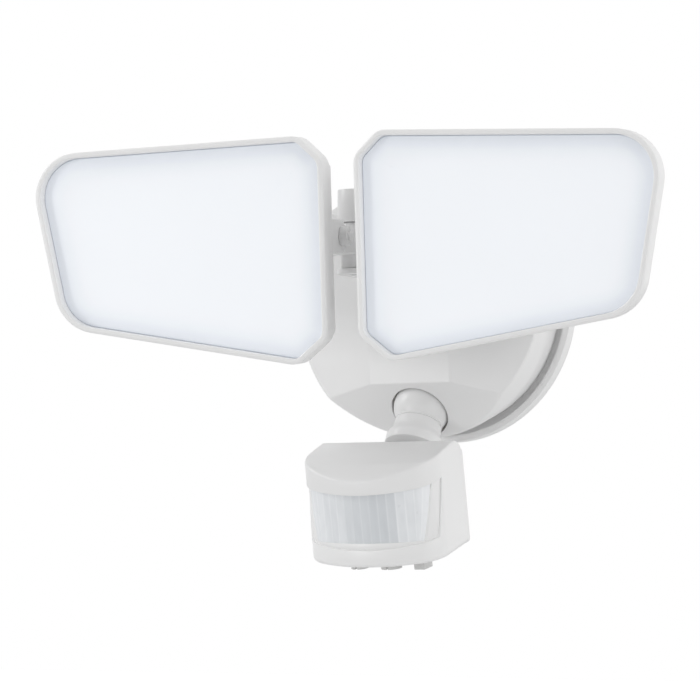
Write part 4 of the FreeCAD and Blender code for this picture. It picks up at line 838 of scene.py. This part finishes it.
def make_film():
    """The segmented film: a sheet along the head's plan between a level lower edge and the
    sloping brow. Each of its upright strips bulges as 1 - t squared between two grooves,
    and carries a tone of its own with painted shade, painted reflection and a painted
    highlight at its grooves; the last columns are drawn to the slanting ends."""
    share = np.linspace(-1, 1, STRIPS * STRIP_COLUMNS + 1)
    counted = share * STRIPS / 2
    strip = np.clip(np.floor(counted + STRIPS / 2), 0, STRIPS - 1).astype(int)
    bulge = 1 - (2 * (counted - np.floor(counted)) - 1) ** 2
    height = np.concatenate([np.linspace(0, 1, FILM_ROWS), np.linspace(1, 0, FILM_BACK_ROWS)])
    outside = np.arange(len(height)) < FILM_ROWS
    inset = np.where(outside[None], FILM_FRONT + GROOVE_DEPTH * (1 - bulge[:, None]), FILM_BACK)
    corner_r = PLAN_CORNER_R - FILM_FRONT
    front = (PLAN_FRONT_R - FILM_FRONT) * PLAN_SWING
    end_y = FILM_END_LOW + (FILM_END_TOP - FILM_END_LOW) * height
    end_turn = np.arccos((PLAN_CORNER[1] - end_y) / corner_r)
    reach = front + (end_turn - PLAN_SWING) * corner_r
    longest = reach.max()
    even = share[:, None] * longest
    inner = front - FILM_DRAWN
    far = np.abs(even)
    drawn = inner + (far - inner) * (reach[None] - inner) / (longest - inner)
    along = np.sign(even) * np.where(far > inner, drawn, far)
    x, y = plan_point(along, inset)
    top = (HEAD_FRONT + y) * BROW_SLOPE - BROW_DROP - BROW_GAP
    z = FILM_LOW + (top - FILM_LOW) * height[None]
    surface = closed_surface(np.stack([x, y, z], -1))
    piece = build("film_sheet", surface, "sensor_lens", "pir_lens", sharp=50.0, place=SENSOR_PLACE)
    # Painted shade dips the middle strips' tone, painted reflection lifts the strips past the step,
    # and a painted highlight lightens each groove.
    across = (np.arange(STRIPS) + 0.5) / STRIPS
    shade_dip = SHADE_DIP_DEPTH * np.exp(-(((across - SHADE_DIP_PLACE) / SHADE_DIP_WIDTH) ** 2))
    tones_with_painted_light = FILM_TONE - shade_dip + REFLECTION_STEP_UP * (across > REFLECTION_STEP_PLACE)
    tones_with_painted_light += np.random.default_rng(11).uniform(-STRIP_VARIES, STRIP_VARIES, STRIPS)
    values = np.repeat(tones_with_painted_light[strip] + GROOVE_HIGHLIGHT * (1 - bulge) ** 6, len(height))
    keep_values(piece, "strip_tone_and_reflection", np.concatenate([values, tones_with_painted_light[[0, -1]]]))


# ---------------------------------------------------------------- studio
# Softboxes: place, width and height in metres, and power in watts.
LAMP_AIM = (0.0, -0.08, -0.03)
LAMPS = {
    "strip": ((-1.05, -1.95, -0.16), 0.34, 0.5, 6.5),
    "side": ((1.75, -0.55, 0.1), 0.8, 0.8, 3.0),
    "upper_left": ((-1.5, -0.9, 0.9), 0.7, 0.7, 9.0),
}
# Bright walls of the room: the way each lies, how tightly it is gathered, and its strength.
WALLS = {
    "right": ((1.0, 0.0, 0.0), 2.0, 1.3),
    "left": ((-1.0, 0.0, 0.0), 2.0, 0.5),
    "above": ((0.0, 0.0, 1.0), 1.0, 0.5),
}
# Light from every direction.
ROOM = 0.15
# Floor in metres: how far it reaches and its height, low enough for views from below. Its
# own light is seen by the camera alone, so it lights nothing.
FLOOR_REACH, FLOOR_LEVEL, FLOOR_GLOW = 30.0, -1.3, 0.7
# Camera, solved from the photograph: place and aim in metres, lens and sensor in mm.
CAMERA_PLACE, CAMERA_AIM = (0.72236, -1.43649, -0.12671), (-0.024952, -0.060, -0.023357)
CAMERA_LENS, CAMERA_SENSOR = 169.66, 36.0


def look_from(item, place, target):
    """Put a lamp or the camera at a place, looking at a target."""
    item.location = place
    way = Vector(target) - Vector(place)
    item.rotation_euler = way.to_track_quat("-Z", "Y").to_euler()
    bpy.context.scene.collection.objects.link(item)


def make_room():
    """The world: white to the camera and in reflections, and elsewhere a dim room with
    bright walls. Each wall's light is the cosine to its direction, raised to a power."""
    world = bpy.data.worlds.new("studio")
    bpy.context.scene.world = world
    tree = new_tree(world)
    path = add(tree, "ShaderNodeLightPath")
    seen = path.outputs["Is Camera Ray"]
    for kind in ("Is Glossy Ray", "Is Transmission Ray"):
        seen = add(
            tree, "ShaderNodeMath", {"operation": "MAXIMUM"}, links={0: seen, 1: path.outputs[kind]},
        ).outputs[0]
    way = add(tree, "ShaderNodeTexCoord").outputs["Generated"]
    level = None
    for facing, power, strength in WALLS.values():
        cosine = add(
            tree, "ShaderNodeVectorMath", {"operation": "DOT_PRODUCT"}, {1: facing}, {0: way},
        ).outputs["Value"]
        positive = add(
            tree, "ShaderNodeMath", {"operation": "MAXIMUM"}, {1: 0.0}, {0: cosine},
        ).outputs[0]
        lobe = add(
            tree, "ShaderNodeMath", {"operation": "POWER"}, {1: power}, {0: positive},
        ).outputs[0]
        links = {0: lobe, 2: level} if level else {0: lobe}
        level = add(
            tree, "ShaderNodeMath", {"operation": "MULTIPLY_ADD"}, {1: strength, 2: ROOM}, links,
        ).outputs[0]
    white = (1, 1, 1, 1)
    room = add(tree, "ShaderNodeBackground", sockets={"Color": white}, links={"Strength": level})
    shown = add(tree, "ShaderNodeBackground", sockets={"Color": white, "Strength": 1.0})
    mix = add(
        tree, "ShaderNodeMixShader", links={"Fac": seen, 1: room.outputs[0], 2: shown.outputs[0]},
    )
    add(tree, "ShaderNodeOutputWorld", links={"Surface": mix.outputs[0]})


def make_floor():
    """A plain pale floor: matt paint, with a glow that only the camera sees."""
    mesh = bpy.data.meshes.new("floor")
    corners = [(-1, -1), (1, -1), (1, 1), (-1, 1)]
    points = [(x * FLOOR_REACH, y * FLOOR_REACH, FLOOR_LEVEL) for x, y in corners]
    mesh.from_pydata(points, [], [(0, 1, 2, 3)])
    floor = bpy.data.objects.new("floor", mesh)
    bpy.context.scene.collection.objects.link(floor)
    material = bpy.data.materials.new("painted floor")
    tree = new_tree(material)
    paint = add(tree, "ShaderNodeBsdfDiffuse", sockets={"Color": linear("#F4F4F4")}).outputs[0]
    glow = add(tree, "ShaderNodeEmission", sockets={"Color": (1, 1, 1, 1), "Strength": FLOOR_GLOW})
    path = add(tree, "ShaderNodeLightPath")
    both = add(tree, "ShaderNodeAddShader", links={0: paint, 1: glow.outputs[0]})
    mix = add(
        tree, "ShaderNodeMixShader",
        links={"Fac": path.outputs["Is Camera Ray"], 1: paint, 2: both.outputs[0]},
    )
    add(tree, "ShaderNodeOutputMaterial", links={"Surface": mix.outputs[0]})
    mesh.materials.append(material)


def make_lamps():
    """The softboxes."""
    for name, (place, wide, tall, power) in LAMPS.items():
        data = bpy.data.lights.new(name, "AREA")
        data.shape = "RECTANGLE"
        data.size, data.size_y = wide, tall
        data.energy = power
        look_from(bpy.data.objects.new(name, data), place, LAMP_AIM)


def make_camera():
    """The camera at the photograph's viewing angle."""
    data = bpy.data.cameras.new("view")
    data.lens = CAMERA_LENS
    data.sensor_width = CAMERA_SENSOR
    data.clip_start, data.clip_end = 0.05, 100
    camera = bpy.data.objects.new("view", data)
    look_from(camera, CAMERA_PLACE, CAMERA_AIM)
    bpy.context.scene.camera = camera
    bpy.context.scene.view_settings.view_transform = "Standard"


# ---------------------------------------------------------------- the whole light
for node, item in frame["nodes"].items():
    item.data.materials.clear()
    item.data.materials.append(FINISH[SLOT_OF[node]])

make_room()
make_floor()
make_lamps()
make_camera()
make_cover()
for side in ("left", "right"):
    make_bezel(side)
    make_lens(side)
    make_tray(side)
    eased(f"{side}_knuckle", KNUCKLE_EASE)
eased("head_yoke", YOKE_EASE)
eased("wall_plate", PLATE_EASE)
make_sensor_shells()
make_film()
make_arm()
for node, width in EASED.items():
    eased(node, width)
